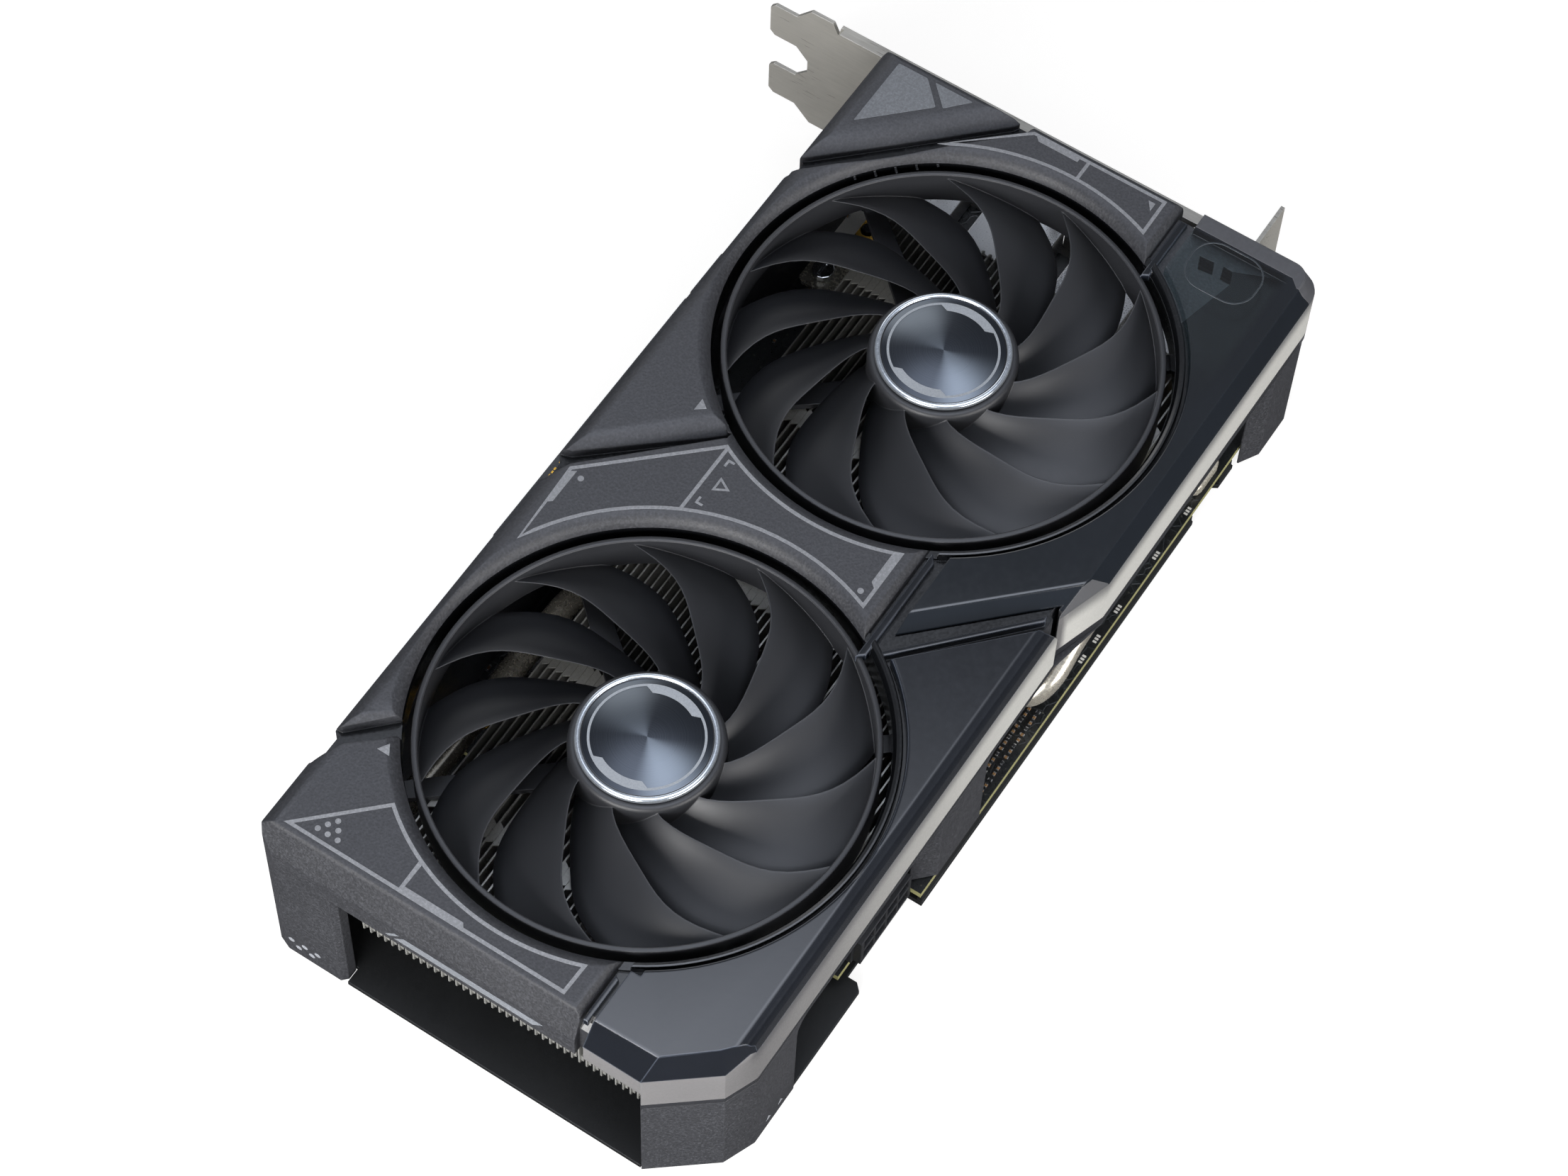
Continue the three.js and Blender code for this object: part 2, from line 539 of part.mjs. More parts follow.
// ---------------------------------------------------------------- circuit board
const BOARD_PLUG_Y = 51.9; // board edge on the power-plug side
const BOARD_SLOT_Y = -57.75; // board edge on the slot side
const CONTACT_Y = -66.0; // end of the edge connector
const KEY_X = FACE_X + 57.15; // key slot of the edge connector
const KEY_HALF = 0.95;
const BOARD_OUTLINE = [
  [-113.6, BOARD_SLOT_Y], [-73.5, BOARD_SLOT_Y], [-73.5, CONTACT_Y + 1.2], [-72.3, CONTACT_Y],
  [13.2, CONTACT_Y], [14.4, CONTACT_Y + 1.2], [14.4, BOARD_SLOT_Y - 2.0],
  [17.6, BOARD_SLOT_Y - 2.0], [17.6, CONTACT_Y + 2.4], [21.0, CONTACT_Y + 1.2],
  [28.6, CONTACT_Y + 1.2], [30.2, CONTACT_Y + 2.7], [30.2, BOARD_SLOT_Y], [58.0, BOARD_SLOT_Y],
  [58.0, 48.0], [33.8, 48.0], [33.8, BOARD_PLUG_Y], [-113.6, BOARD_PLUG_Y],
];
function buildBoard() {
  const holes = [...GPU_SCREWS, ...COVER_SCREWS, LEG_SCREW, TAB_SCREW];
  return cut(
    prism(BOARD_OUTLINE, BOARD_Z0, BOARD_Z1),
    box(KEY_X - KEY_HALF, KEY_X + KEY_HALF, -80, BOARD_SLOT_Y - 0.4, 0, 10),
    ...holes.map(([x, y]) => rod(1.7, 0, 10, x, y, 8)),
  );
}
add("circuit_board", buildBoard(), FINISH.board);

// ---------------------------------------------------------------- parts on the board
const MEMORY = [[-52.5, 18], [-52.5, 1], [GPU_X - 8, 34], [GPU_X + 12, 34]];
const CHOKES = [[-66, 41], [-56, 41], [1, 41], [11, 41]];
const CAPACITORS = [[34, -42], [42, -42], [54, -28]];
const CAPACITOR_PROFILE = [[0, PARTS_Z], [3.2, PARTS_Z], [3.2, 11.2], [2.9, 11.6], [0, 11.6]];
const CABLE_PATH = [
  [0.4, -42.6, 8.6], [0.2, -41.8, 9.4], [-1.8, -42.0, 16],
  [-5.5, -42.0, 24], [-9.5, -41.0, 31.4], [-15.4, -39.0, 32.2],
];

const substrate = roundRect(GPU_X - 16, GPU_X + 14, GPU_Y - 16, GPU_Y + 16, 1, 1);
add("gpu_substrate", prism(substrate, PARTS_Z, 7.2), FINISH.substrate);
add("gpu_die", box(GPU_X - 8, GPU_X + 6, GPU_Y - 6, GPU_Y + 6, 7.5, 8.2), FINISH.die);
const memoryChip = ([x, y]) => box(x - 6, x + 6, y - 7, y + 7, PARTS_Z, 7.3);
addEach("memory_chip", MEMORY, memoryChip, FINISH.memory);
const choke = ([x, y]) =>
  prism(roundRect(x - 3.6, x + 3.6, y - 3.6, y + 3.6, 0.9, 1), PARTS_Z, 10.0);
addEach("choke", CHOKES, choke, FINISH.choke);
const capacitor = ([x, y]) => turned(CAPACITOR_PROFILE, 14, x, y);
addEach("capacitor", CAPACITORS, capacitor, FINISH.capacitor);
const crystal = roundRect(-86.0, -75.4, 46.4, 51.2, 2.2, 3);
add("crystal", prism(crystal, PARTS_Z, 9.4), FINISH.crystal);

// eight-way plug, two rows of four square cells open towards the power-plug side, a pin in each
function buildPowerPlug() {
  let plug = fuse(
    box(35.0, 54.4, 36.0, 48.6, 6.3, 16.2),
    box(35.6, 53.8, 48.3, 50.4, 6.9, 15.6),
    box(42.2, 47.2, 45.0, 49.6, 15.8, 18.0),
  );
  const bar = (x, z, half, y0, y1) => box(x - half, x + half, y0, y1, z - half, z + half);
  for (let i = 0; i < 4; i++)
    for (let j = 0; j < 2; j++) {
      const x = 38.3 + i * 4.2;
      const z = 9.1 + j * 4.25;
      plug = plug.subtract(bar(x, z, 1.75, 40, 60)).add(bar(x, z, 0.5, 39.6, 48.0));
    }
  return plug;
}
add("power_plug", buildPowerPlug(), FINISH.plug);
const fanHeader = box(-4.6, 5.4, -47.6, -43.4, PARTS_Z, 10.6)
  .subtract(box(-3.8, 4.6, -46.8, -44.2, 7.4, 12));
add("fan_header", fanHeader, FINISH.header);
add("fan_cable", tube(CABLE_PATH, 1.2, 12, 6), FINISH.cable);

// socket open towards the bracket, with a tongue inside
const videoPort = (y) =>
  box(-114.9, -99.5, y - 8.6, y + 8.6, 6.25, 13.2)
    .add(box(-116.4, -114.0, y - 8.0, y + 8.0, 6.9, 12.6))
    .subtract(box(-120, -104, y - 7.2, y + 7.2, 7.7, 11.8))
    .add(box(-114.5, -103, y - 5.8, y + 5.8, 9.4, 10.2));
addEach("video_port", PORT_YS, videoPort, FINISH.port);

// ---------------------------------------------------------------- rear cover and fasteners
const COVER_OUTLINE = [
  [-112.4, -46.0], [-110.6, -47.8], [56.0, -47.8], [106.6, -47.8], [106.9, -47.5],
  [106.9, -32.4], [110.5, -32.4], [110.5, 36.9], [105.3, 36.9], [98.0, 45.9], [92.6, 48.0],
  [80.2, 48.0], [80.2, 52.1], [56.4, 52.1], [55.0, 50.7], [55.0, 48.4], [33.4, 48.4],
  [33.4, 52.1], [-73.6, 52.1], [-75.7, 48.2], [-82.0, 48.2], [-84.4, 52.1], [-90.4, 52.1],
  [-91.2, 47.8], [-110.8, 47.8], [-112.4, 46.2],
];
const GPU_OPENING = [ // octagon round the spring plate
  [-25.6, -27.5], [-22, -32.5], [22, -32.5], [25.6, -27.5],
  [25.6, 27.5], [22, 32.5], [-22, 32.5], [-25.6, 27.5],
].map(fromGpu);
const SPRING_Z0 = 1.4;
const SPRING_Z1 = 2.6;

function buildCover() {
  // upstanding rims along the board's power-plug edge and slot edge
  let cover = fuse(
    prism(COVER_OUTLINE, 0, 1.2),
    box(-73.2, 33.0, 50.8, 51.95, 0.6, 3.9),
    box(-110.2, 55.7, -47.6, -46.4, 0.6, 3.9),
    box(-89.8, -84.9, 50.8, 51.95, 0.6, 3.9),
  );
  for (const [x, y] of COVER_SCREWS)
    cover = cut(
      cover.add(rod(3.6, 0.5, 3.8, x, y, 12)),
      rod(1.9, -1, 5, x, y, 8),
      rod(2.9, -1, 1.9, x, y, 12),
    );
  cover = cover.subtract(prism(GPU_OPENING, -1, 5));
  // long slots behind the overhanging fins
  for (let i = 0; i < 3; i++) {
    const x = 61.5 + i * 8.2;
    const slot = [
      [x, -30], [x + 2.4, -30], [x + 4.8, -26], [x + 4.8, 30], [x + 2.4, 30], [x, 26],
    ];
    cover = cover.subtract(prism(slot, -1, 5));
  }
  return cover;
}
// disc with a tapering arm to each cooler screw
function buildSpring() {
  let spring = rod(9.5, SPRING_Z0, SPRING_Z1, GPU_X, GPU_Y, 16);
  for (const [x, y] of GPU_SCREWS) {
    const dx = x - GPU_X;
    const dy = y - GPU_Y;
    const reach = Math.hypot(dx, dy);
    const arm = [[4, -4], [reach, -2.2], [reach, 2.2], [4, 4]];
    spring = fuse(
      spring,
      prism(arm.map(spoke(GPU_X, GPU_Y, Math.atan2(dy, dx))), SPRING_Z0, SPRING_Z1),
      rod(3.4, SPRING_Z0, SPRING_Z1, x, y, 10),
    );
  }
  const holes = GPU_SCREWS.map(([x, y]) => rod(1.6, 0, 5, x, y, 8));
  return cut(spring, ...holes, rod(4.5, 0, 5, GPU_X, GPU_Y, 12));
}
add("rear_cover", buildCover(), FINISH.cover);
add("spring_plate", buildSpring(), FINISH.spring);
const coolerScrew = (at) => screw(at, [2.7, 0.2, 1.1], [1.2, 0.8, 8.0], [2.0, -1, 0.6]);
addEach("cooler_screw", GPU_SCREWS, coolerScrew, FINISH.greyScrew);
const coverScrew = (at) => screw(at, [2.5, 0.3, 1.6], [1.3, 1.4, 6.8], [1.7, -1, 0.7]);
addEach("cover_screw", COVER_SCREWS, coverScrew, FINISH.darkScrew);
const legScrew = screw(LEG_SCREW, [2.5, 12.9, 14.4], [1.15, 6.0, 13.2], [1.7, 13.8, 16]);
add("leg_screw", legScrew, FINISH.brightScrew);

// ---------------------------------------------------------------- slot bracket
const SHEET = 0.9; // bracket sheet
const PLATE_Z0 = 1.2;
const PLATE_Z1 = 39.9;
const FLANGE_Y = 37.8; // outer face of the screw flange
// outline in [Y, Z]: two slots, tongues at the slot end
const PLATE_OUTLINE = [
  [FLANGE_Y, PLATE_Z0], [FLANGE_Y, PLATE_Z1], [-64.3, PLATE_Z1], [-65.0, 36.8],
  [-66.4, PLATE_Z1], [-71.9, PLATE_Z1], [-75.4, 35.8], [-81.0, 35.8], [-82.2, 34.6],
  [-82.2, 26.8], [-81.0, 25.6], [-75.4, 25.6], [-72.4, 22.4], [-72.4, 18.7], [-75.4, 15.5],
  [-81.0, 15.5], [-82.2, 14.3], [-82.2, 6.5], [-81.0, 5.3], [-75.4, 5.3], [-71.4, PLATE_Z0],
];
function buildBracket() {
  const [tabX, tabY] = TAB_SCREW;
  const flangeSlot = [...arc(-121.6, 26.0, 2.2, 90, 270, 5), [-117.6, 23.8], [-117.6, 28.2]];
  const vents = Array.from({ length: 12 }, (_, i) => {
    const y = -50 + i * 7.2;
    const vent = [[y, 15.0], [y + 4.4, 15.0], [y + 4.4, 34.6], [y + 2.2, 36.4], [y, 34.6]];
    return prismX(vent, -118, -114);
  });
  const blank = fuse(
    prismX(PLATE_OUTLINE, FACE_X, FACE_X + SHEET),
    // stiffening lip, then the screw flange
    box(FACE_X, FACE_X + 2.6, -63.6, 36.9, PLATE_Z1 - SHEET, PLATE_Z1),
    box(-127.9, FACE_X + SHEET, FLANGE_Y - SHEET, FLANGE_Y, PLATE_Z0, PLATE_Z1),
  );
  const pierced = cut(
    blank,
    prismY(flangeSlot, 36, 39),
    box(-130, -119.2, 36, 39, 19.0, 22.4),
    prismY(circle(-121.6, 6.4, 2.2, 10), 36, 39),
    ...PORT_YS.map((y) => box(-118, -114, y - 8.35, y + 8.35, 6.5, 13.0)),
    ...vents,
  );
  return pierced
    .add(box(FACE_X + 0.2, -107.8, tabY - 2.6, tabY + 2.6, 6.2, 7.1))
    .subtract(rod(1.6, 5, 9, tabX, tabY, 10));
}
add("slot_bracket", buildBracket(), FINISH.nickel);
const tabScrew = screw(TAB_SCREW, [2.3, 7.4, 8.8], [1.2, 4.0, 7.6], [1.6, 8.2, 10]);
add("bracket_screw", tabScrew, FINISH.greyScrew);

export default group;
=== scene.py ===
"""Two-fan graphics card lying flat with its fans facing +Z. X runs from the slot bracket (-X)
to the far end (+X), the edge contacts point to -Y and the power plug side faces +Y.
Pieces are built in millimetres and scaled to metres when placed; shaders work in metres."""
import math
import random

import bpy
import numpy as np
from mathutils import Matrix, Vector


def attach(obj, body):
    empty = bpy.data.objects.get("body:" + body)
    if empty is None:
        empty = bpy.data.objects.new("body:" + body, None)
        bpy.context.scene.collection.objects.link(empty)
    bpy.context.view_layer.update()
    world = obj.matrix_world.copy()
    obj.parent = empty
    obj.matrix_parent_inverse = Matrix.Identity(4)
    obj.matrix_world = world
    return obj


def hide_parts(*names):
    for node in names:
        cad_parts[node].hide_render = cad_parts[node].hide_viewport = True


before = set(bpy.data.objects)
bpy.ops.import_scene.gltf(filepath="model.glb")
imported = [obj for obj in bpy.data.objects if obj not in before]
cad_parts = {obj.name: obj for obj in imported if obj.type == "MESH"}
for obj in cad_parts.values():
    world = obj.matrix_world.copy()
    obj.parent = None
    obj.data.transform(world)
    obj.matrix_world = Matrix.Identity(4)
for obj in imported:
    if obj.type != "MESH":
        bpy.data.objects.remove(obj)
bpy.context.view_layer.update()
scene = bpy.context.scene
rng = random.Random(7)

# ------------------------------------------------------------------ dimensions, millimetres
FAN_X = 53.2  # fan axes stand at -FAN_X and +FAN_X
RING_R = 45.0
BLADES = 11
BORE_R = 46.8
TOP = 49.6
RING_TOP = 47.3
FAR_X = 110.7
LEFT_X = -110.2
BRACKET_FACE_X = -116.5
PLUG_SIDE_Y = 52.4
PLUG_SIDE_OUTER_Y = 55.1  # the wider part, near the bracket
SLOT_SIDE_Y = -50.6
DECK = 46.6  # floor under the gloss trims
CEILING = 44.8  # inside of the shroud
TRIM_Y = 22.7
TRIM_R = 49.4
BAND_LOW = 29.8
PCB_Z0, PCB_Z1 = 4.3, 5.9
PCB_PLUG_Y, PCB_SLOT_Y, CONTACT_Y = 51.9, -57.75, -66.0
GPU_X, GPU_Y = -29, 2
ROUND = 128  # segments of a large turned piece

# ------------------------------------------------------------------ materials
MATERIALS = {}
NOISE = (0.3, 0.7)  # the range a noise texture mostly fills


def linear(code):
    """Linear colour from an sRGB hex code."""
    channels = [((code >> shift) & 255) / 255 for shift in (16, 8, 0)]
    return [c / 12.92 if c <= 0.04045 else ((c + 0.055) / 1.055) ** 2.4 for c in channels]


def shade(colour, factor):
    return [min(1.0, c * factor) for c in colour]


class Shader:
    """Node tree of a material or world. Inputs map socket names or numbers to values or sockets;
    a colour is an sRGB hex code or linear channels."""

    def __init__(self, owner, output="OutputMaterial"):
        owner.use_nodes = True
        self.tree = owner.node_tree
        self.tree.nodes.clear()
        self.output = self.add(output)

    def add(self, kind, inputs=None, **settings):
        node = self.tree.nodes.new("ShaderNode" + kind)
        for name, value in settings.items():
            setattr(node, name, value)
        self.set(node, inputs or {})
        return node

    def set(self, node, inputs):
        for key, value in inputs.items():
            socket = node.inputs[key]
            if isinstance(value, bpy.types.NodeSocket):
                self.tree.links.new(value, socket)
                continue
            if socket.type == "RGBA":
                value = (*(linear(value) if isinstance(value, int) else value), 1)
            socket.default_value = value

    def coords(self, scale=(1, 1, 1)):
        place_at = self.add("TexCoord").outputs["Object"]
        return self.add("Mapping", {"Scale": scale, "Vector": place_at}).outputs[0]

    def xyz(self, space="Object"):
        return self.add("SeparateXYZ", {0: self.add("TexCoord").outputs[space]}).outputs

    def noise(self, at, scale, detail=2.0, rough=0.55):
        inputs = {"Vector": at, "Scale": scale, "Detail": detail, "Roughness": rough}
        return self.add("TexNoise", inputs).outputs["Fac"]

    def voronoi(self, at, scale, feature="F1"):
        node = self.add("TexVoronoi", {"Vector": at, "Scale": scale}, feature=feature)
        return node.outputs["Distance"]

    def math(self, operation, *values, clamp=False):
        inputs = dict(enumerate(values))
        return self.add("Math", inputs, operation=operation, use_clamp=clamp).outputs[0]

    def remap(self, value, source, target=(0.0, 1.0), smooth=False):
        node = self.add("MapRange", dict(enumerate((value, *source, *target))))
        node.interpolation_type = "SMOOTHSTEP" if smooth else "LINEAR"
        return node.outputs[0]

    def mix(self, factor, first, second, blend="MIX"):
        return self.add("MixRGB", {0: factor, 1: first, 2: second}, blend_type=blend).outputs[0]

    def mix_shaders(self, factor, first, second):
        return self.add("MixShader", {0: factor, 1: first, 2: second}).outputs[0]

    def rounded(self, radius):
        """Normal with edges rounded by a radius in millimetres."""
        return self.add("Bevel", {"Radius": radius / 1000}, samples=4).outputs[0]

    def bump(self, height, depth, normal=None):
        """Normal with relief of a depth in millimetres."""
        inputs = {"Height": height, "Distance": depth / 1000}
        if normal:
            inputs["Normal"] = normal
        return self.add("Bump", inputs).outputs[0]

    def body(self, colour, rough, normal=None, metal=0.0):
        self.set(self.bsdf, {"Base Color": colour, "Roughness": rough, "Metallic": metal})
        if normal:
            self.set(self.bsdf, {"Normal": normal})

    def show(self, result):
        self.set(self.output, {0: result})


def new_material(name):
    MATERIALS[name] = bpy.data.materials.new(name)
    shader = Shader(MATERIALS[name])
    shader.bsdf = shader.add("BsdfPrincipled")
    shader.show(shader.bsdf.outputs[0])
    return shader


def surface(
    name, colour, rough, metal=0.0, spec=0.5,
    grain=0.45,  # grain size, mm
    bump=0.02,  # relief depth, mm
    tone=0.12,  # brightness change with the grain
    drift=0.06,  # slow brightness change
    rough_var=0.06,
    pits=0.0,  # share of rounded pits in the relief
    bevel=0.0,  # edge radius, mm
    wear_and_highlight=0.0,  # how far edges are painted lighter: painted highlight, partly wear
    wear_and_highlight_to=None,
    stretch=(1, 1, 1),  # texture scale per axis
):
    """Plastic, paint or metal with fine grain, slow tone changes and rounded edges painted
    lighter: painted highlight, partly wear.
    """
    s = new_material(name)
    base = linear(colour)
    at = s.coords(stretch)
    fine = s.noise(at, 1000 / grain, detail=2.5, rough=0.6)
    broad = s.noise(s.coords(), 45, detail=3.0, rough=0.5)
    colour = s.mix(s.remap(fine, (0.32, 0.68)), shade(base, 1 - tone), shade(base, 1 + tone))
    slow = s.mix(s.remap(broad, NOISE), [1 - drift] * 3, [1 + drift] * 3)
    colour = s.mix(1.0, colour, slow, "MULTIPLY")
    height = fine
    if pits:
        cells = s.voronoi(at, 1000 / (grain * 1.35), "SMOOTH_F1")
        height = s.math("ADD", s.math("MULTIPLY", fine, 0.5), s.math("MULTIPLY", cells, pits))
        # pit floors painted darker than the grain round them: painted shade in the recesses
        colour = s.mix(s.remap(cells, (0.15, 0.6)), shade(base, 1 - tone * 0.9), colour)
    fine_rough = s.remap(fine, NOISE, (rough - rough_var, rough + rough_var))
    broad_rough = s.remap(broad, NOISE, (-rough_var * 0.6, rough_var * 0.6))
    rough = s.math("ADD", fine_rough, broad_rough, clamp=True)
    normal = None
    if bevel:
        normal = s.rounded(bevel)
        if wear_and_highlight:
            # the rounded normal leaves the true one only at edges
            true_normal = s.add("NewGeometry").outputs["Normal"]
            dot = s.add("VectorMath", {0: normal, 1: true_normal}, operation="DOT_PRODUCT")
            at_edge = s.remap(dot.outputs["Value"], (1.0, 0.9), (0.0, wear_and_highlight))
            patchy = s.remap(broad, (0.25, 0.75), (0.6, 1.2))
            worn_and_lit = s.math("MULTIPLY", at_edge, patchy, clamp=True)
            # edges painted towards the lighter colour: painted highlight, partly wear
            colour = s.mix(worn_and_lit, colour, wear_and_highlight_to or shade(base, 2.2))
    s.body(colour, rough, s.bump(height, bump, normal), metal)
    s.set(s.bsdf, {"IOR": 1.5, "Specular IOR Level": spec, "Coat Roughness": 0.08})


# edges painted somewhat lighter: painted highlight, partly wear
surface("textured_black", 0x313236, rough=0.54, grain=0.42, bump=0.07, tone=0.42, rough_var=0.09,
        pits=0.55, bevel=0.45, wear_and_highlight=0.25, wear_and_highlight_to=0x4C4D52, spec=0.42)
# near-black: the collar's black plastic, and painted shade on the bore walls, groove floors, gaps
# round the trims and the cap groove
surface("collar_black_and_painted_shade", 0x0A0B0D, rough=0.20, grain=0.6, bump=0.004, tone=0.1, bevel=0.2,
        spec=0.45)
# edges painted lighter and bluish: painted highlight along the rounded edges
surface("gloss_black", 0x12151B, rough=0.09, grain=1.4, bump=0.0018, tone=0.06, rough_var=0.02,
        bevel=0.35, wear_and_highlight=0.55, wear_and_highlight_to=0x7A8292, drift=0.1)
surface("satin_facet", 0x4C4D50, rough=0.40, grain=0.5, bump=0.006, tone=0.06, rough_var=0.05,
        bevel=0.25, wear_and_highlight=0.3, wear_and_highlight_to=0x77787A)
surface("dark_rim", 0x232428, rough=0.35, grain=0.5, bump=0.006, tone=0.1, bevel=0.2)
# blade and ring edges painted lighter: painted highlight
surface("rotor_black", 0x202124, rough=0.46, grain=0.22, bump=0.007, tone=0.10, rough_var=0.05,
        bevel=0.35, wear_and_highlight=0.6, wear_and_highlight_to=0x56575B, spec=0.42)
for ink_name, ink_colour in (("print_grey", 0x85888E), ("print_fill", 0x6C7076)):
    surface(ink_name, ink_colour, rough=0.60, grain=0.40, bump=0.04, tone=0.22, rough_var=0.05,
            pits=0.35)
surface("turned_steel", 0xC0C2C4, rough=0.24, metal=1.0, grain=0.25, bump=0.002, tone=0.05)
surface("nickel", 0xA3A19B, rough=0.34, metal=0.35, grain=0.5, bump=0.003, tone=0.06,
        rough_var=0.07, stretch=(1, 0.08, 1), bevel=0.15, wear_and_highlight=0.6, wear_and_highlight_to=0xE8E6E0)
surface("leg_nickel", 0xC6C1B4, rough=0.28, metal=0.6, grain=0.7, bump=0.01, tone=0.08,
        rough_var=0.08, bevel=0.2, wear_and_highlight=0.4, wear_and_highlight_to=0xF2EEE4)
surface("plated_pipe", 0xBDB8AC, rough=0.26, metal=0.75, grain=0.8, bump=0.012, tone=0.07,
        rough_var=0.07)
surface("fin_aluminium", 0xA6A6A2, rough=0.36, metal=0.6, grain=0.4, bump=0.004, tone=0.10,
        rough_var=0.08, stretch=(1, 1, 0.2))
surface("copper", 0xB87B58, rough=0.30, metal=1.0, grain=0.5, bump=0.006)
surface("winding_copper", 0x9A5C34, rough=0.35, metal=0.9, grain=0.18, tone=0.25,
        stretch=(0.2, 0.2, 6))
surface("sintered_bronze", 0x9C7F4E, rough=0.45, metal=0.9, grain=0.12, bump=0.01, tone=0.2)
surface("ferrite_magnet", 0x2C2B2C, rough=0.6, grain=0.3, bump=0.012, tone=0.2)
surface("plain_black", 0x1B1C1F, rough=0.45, grain=0.4, bump=0.01, tone=0.15, bevel=0.2, wear_and_highlight=0.25)
surface("black_steel", 0x2A2B2E, rough=0.32, metal=0.9, grain=0.3, bump=0.004, tone=0.15,
        bevel=0.12, wear_and_highlight=0.5, wear_and_highlight_to=0x777A80)
surface("chip_epoxy", 0x1E1F22, rough=0.5, grain=0.15, bump=0.006, tone=0.2, bevel=0.1, wear_and_highlight=0.2)
surface("die_silicon", 0x2C3038, rough=0.08, metal=0.6, grain=0.9, bump=0.0005, tone=0.06)
surface("chip_substrate", 0x1C4636, rough=0.4, grain=0.5, bump=0.004, tone=0.15)
surface("ferrite_choke", 0x3C3D40, rough=0.62, grain=0.2, bump=0.015, tone=0.25, bevel=0.2,
        wear_and_highlight=0.2)
surface("can_aluminium", 0xB9BBBD, rough=0.30, metal=0.7, grain=0.3, bump=0.003, tone=0.06,
        bevel=0.1)
surface("crystal_can", 0xC0BBAC, rough=0.28, metal=0.6, grain=0.4, bump=0.004, tone=0.07,
        bevel=0.3, wear_and_highlight=0.5, wear_and_highlight_to=0xF0EEE6)
surface("cream_plastic", 0xD9D6CB, rough=0.45, grain=0.3, bump=0.006, tone=0.05, bevel=0.15)
surface("cable_jacket", 0x1B1B1D, rough=0.5, grain=0.35, tone=0.2)
# near-black: the cover's own black, made darker still as painted shade inside the shroud
surface("cover_black", 0x0E0F10, rough=0.5, grain=0.35, tone=0.18, bevel=0.25, wear_and_highlight=0.35,
        wear_and_highlight_to=0x3A3C40, pits=0.3, spec=0.35)
surface("gold_plate", 0xD6A94A, rough=0.22, metal=1.0, grain=0.5, bump=0.002, tone=0.06)
surface("tinned", 0xC9CACB, rough=0.28, metal=1.0, grain=0.2, bump=0.008, tone=0.1)
surface("ceramic_tan", 0x8A6A45, rough=0.5, grain=0.15, bump=0.004, tone=0.15)
surface("legend_white", 0xDADAD6, rough=0.6, grain=0.2, bump=0.006, tone=0.05)
surface("board_edge", 0x86845A, rough=0.55, grain=0.25, bump=0.01, tone=0.2, stretch=(1, 1, 5))
surface("label_film", 0xD6D7D5, rough=0.35, grain=0.5, bump=0.003, tone=0.04)
# lighter grey than the textured black, for the rounded end rim by the bracket, which faces away
# from the lamps: painted light
surface("edge_grey", 0x434448, rough=0.48, grain=1.0, tone=0.10, bevel=0.3, wear_and_highlight=0.4,
        wear_and_highlight_to=0x85868A, spec=0.42)
surface("cap_print", 0x8E9399, rough=0.46, metal=0.2, grain=0.3, bump=0.006)
# raised outline painted lighter than the gloss round it, with still lighter edges: painted
# highlight
surface("embossed_highlight", 0x30363C, rough=0.16, grain=0.6, bump=0.002, tone=0.05, rough_var=0.03,
        bevel=0.05, wear_and_highlight=0.8, wear_and_highlight_to=0xA8AEB4)


def band_material():
    """Satin strip on the plug side, lighter towards the bracket and darker towards its top: a
    painted reflection and a painted shade.
    """
    s = new_material("satin_band")
    at = s.coords()
    fine = s.noise(at, 2200)
    broad = s.noise(at, 40)
    x, y, z = s.xyz()
    # painted reflection: the plug-side faces are painted lighter than the far-end faces, most
    # towards the bracket
    along = s.remap(x, (0.095, -0.01), smooth=True)
    side = s.remap(y, (0.0515, 0.0520))
    colour = s.mix(s.math("MULTIPLY", along, side), 0x636263, 0xAEAEAA)
    # painted shade: darker towards the top of the plug-side faces
    upper = s.remap(z, (0.0385, 0.0446), (0.0, 0.72), smooth=True)
    colour = s.mix(s.math("MULTIPLY", side, upper), colour, 0x33343A)
    colour = s.mix(s.remap(fine, NOISE, (0, 0.1)), colour, 0x606060)
    colour = s.mix(s.remap(broad, NOISE, (0, 0.06)), colour, 0xB0B0AE)
    s.body(colour, s.remap(fine, NOISE, (0.34, 0.44)), s.bump(fine, 0.006, s.rounded(0.2)))


def board_material():
    """Solder mask over copper: traces and pours show as faint relief and tone under the mask."""
    s = new_material("solder_mask")
    at = s.coords()
    grid = s.add("TexBrick", {"Vector": at, "Scale": 160, "Mortar Size": 0.06}).outputs["Fac"]
    cells = s.voronoi(at, 420, "DISTANCE_TO_EDGE")
    pours = s.remap(s.noise(at, 70), (0.48, 0.5))
    traces = s.math("MULTIPLY", s.remap(cells, (0.03, 0.06), (1, 0)), pours)
    vias = s.remap(s.voronoi(at, 520), (0.10, 0.13), (1, 0))
    fine = s.noise(at, 2500)
    colour = s.mix(traces, 0x121415, 0x24282A)
    colour = s.mix(s.math("MULTIPLY", vias, 0.6), colour, 0x4A4A42)
    colour = s.mix(s.math("MULTIPLY", grid, 0.25), colour, 0x1C1F20)
    height = s.math("ADD", s.math("ADD", traces, vias), s.math("MULTIPLY", fine, 0.2))
    s.body(colour, s.remap(fine, NOISE, (0.26, 0.4)), s.bump(height, 0.04))


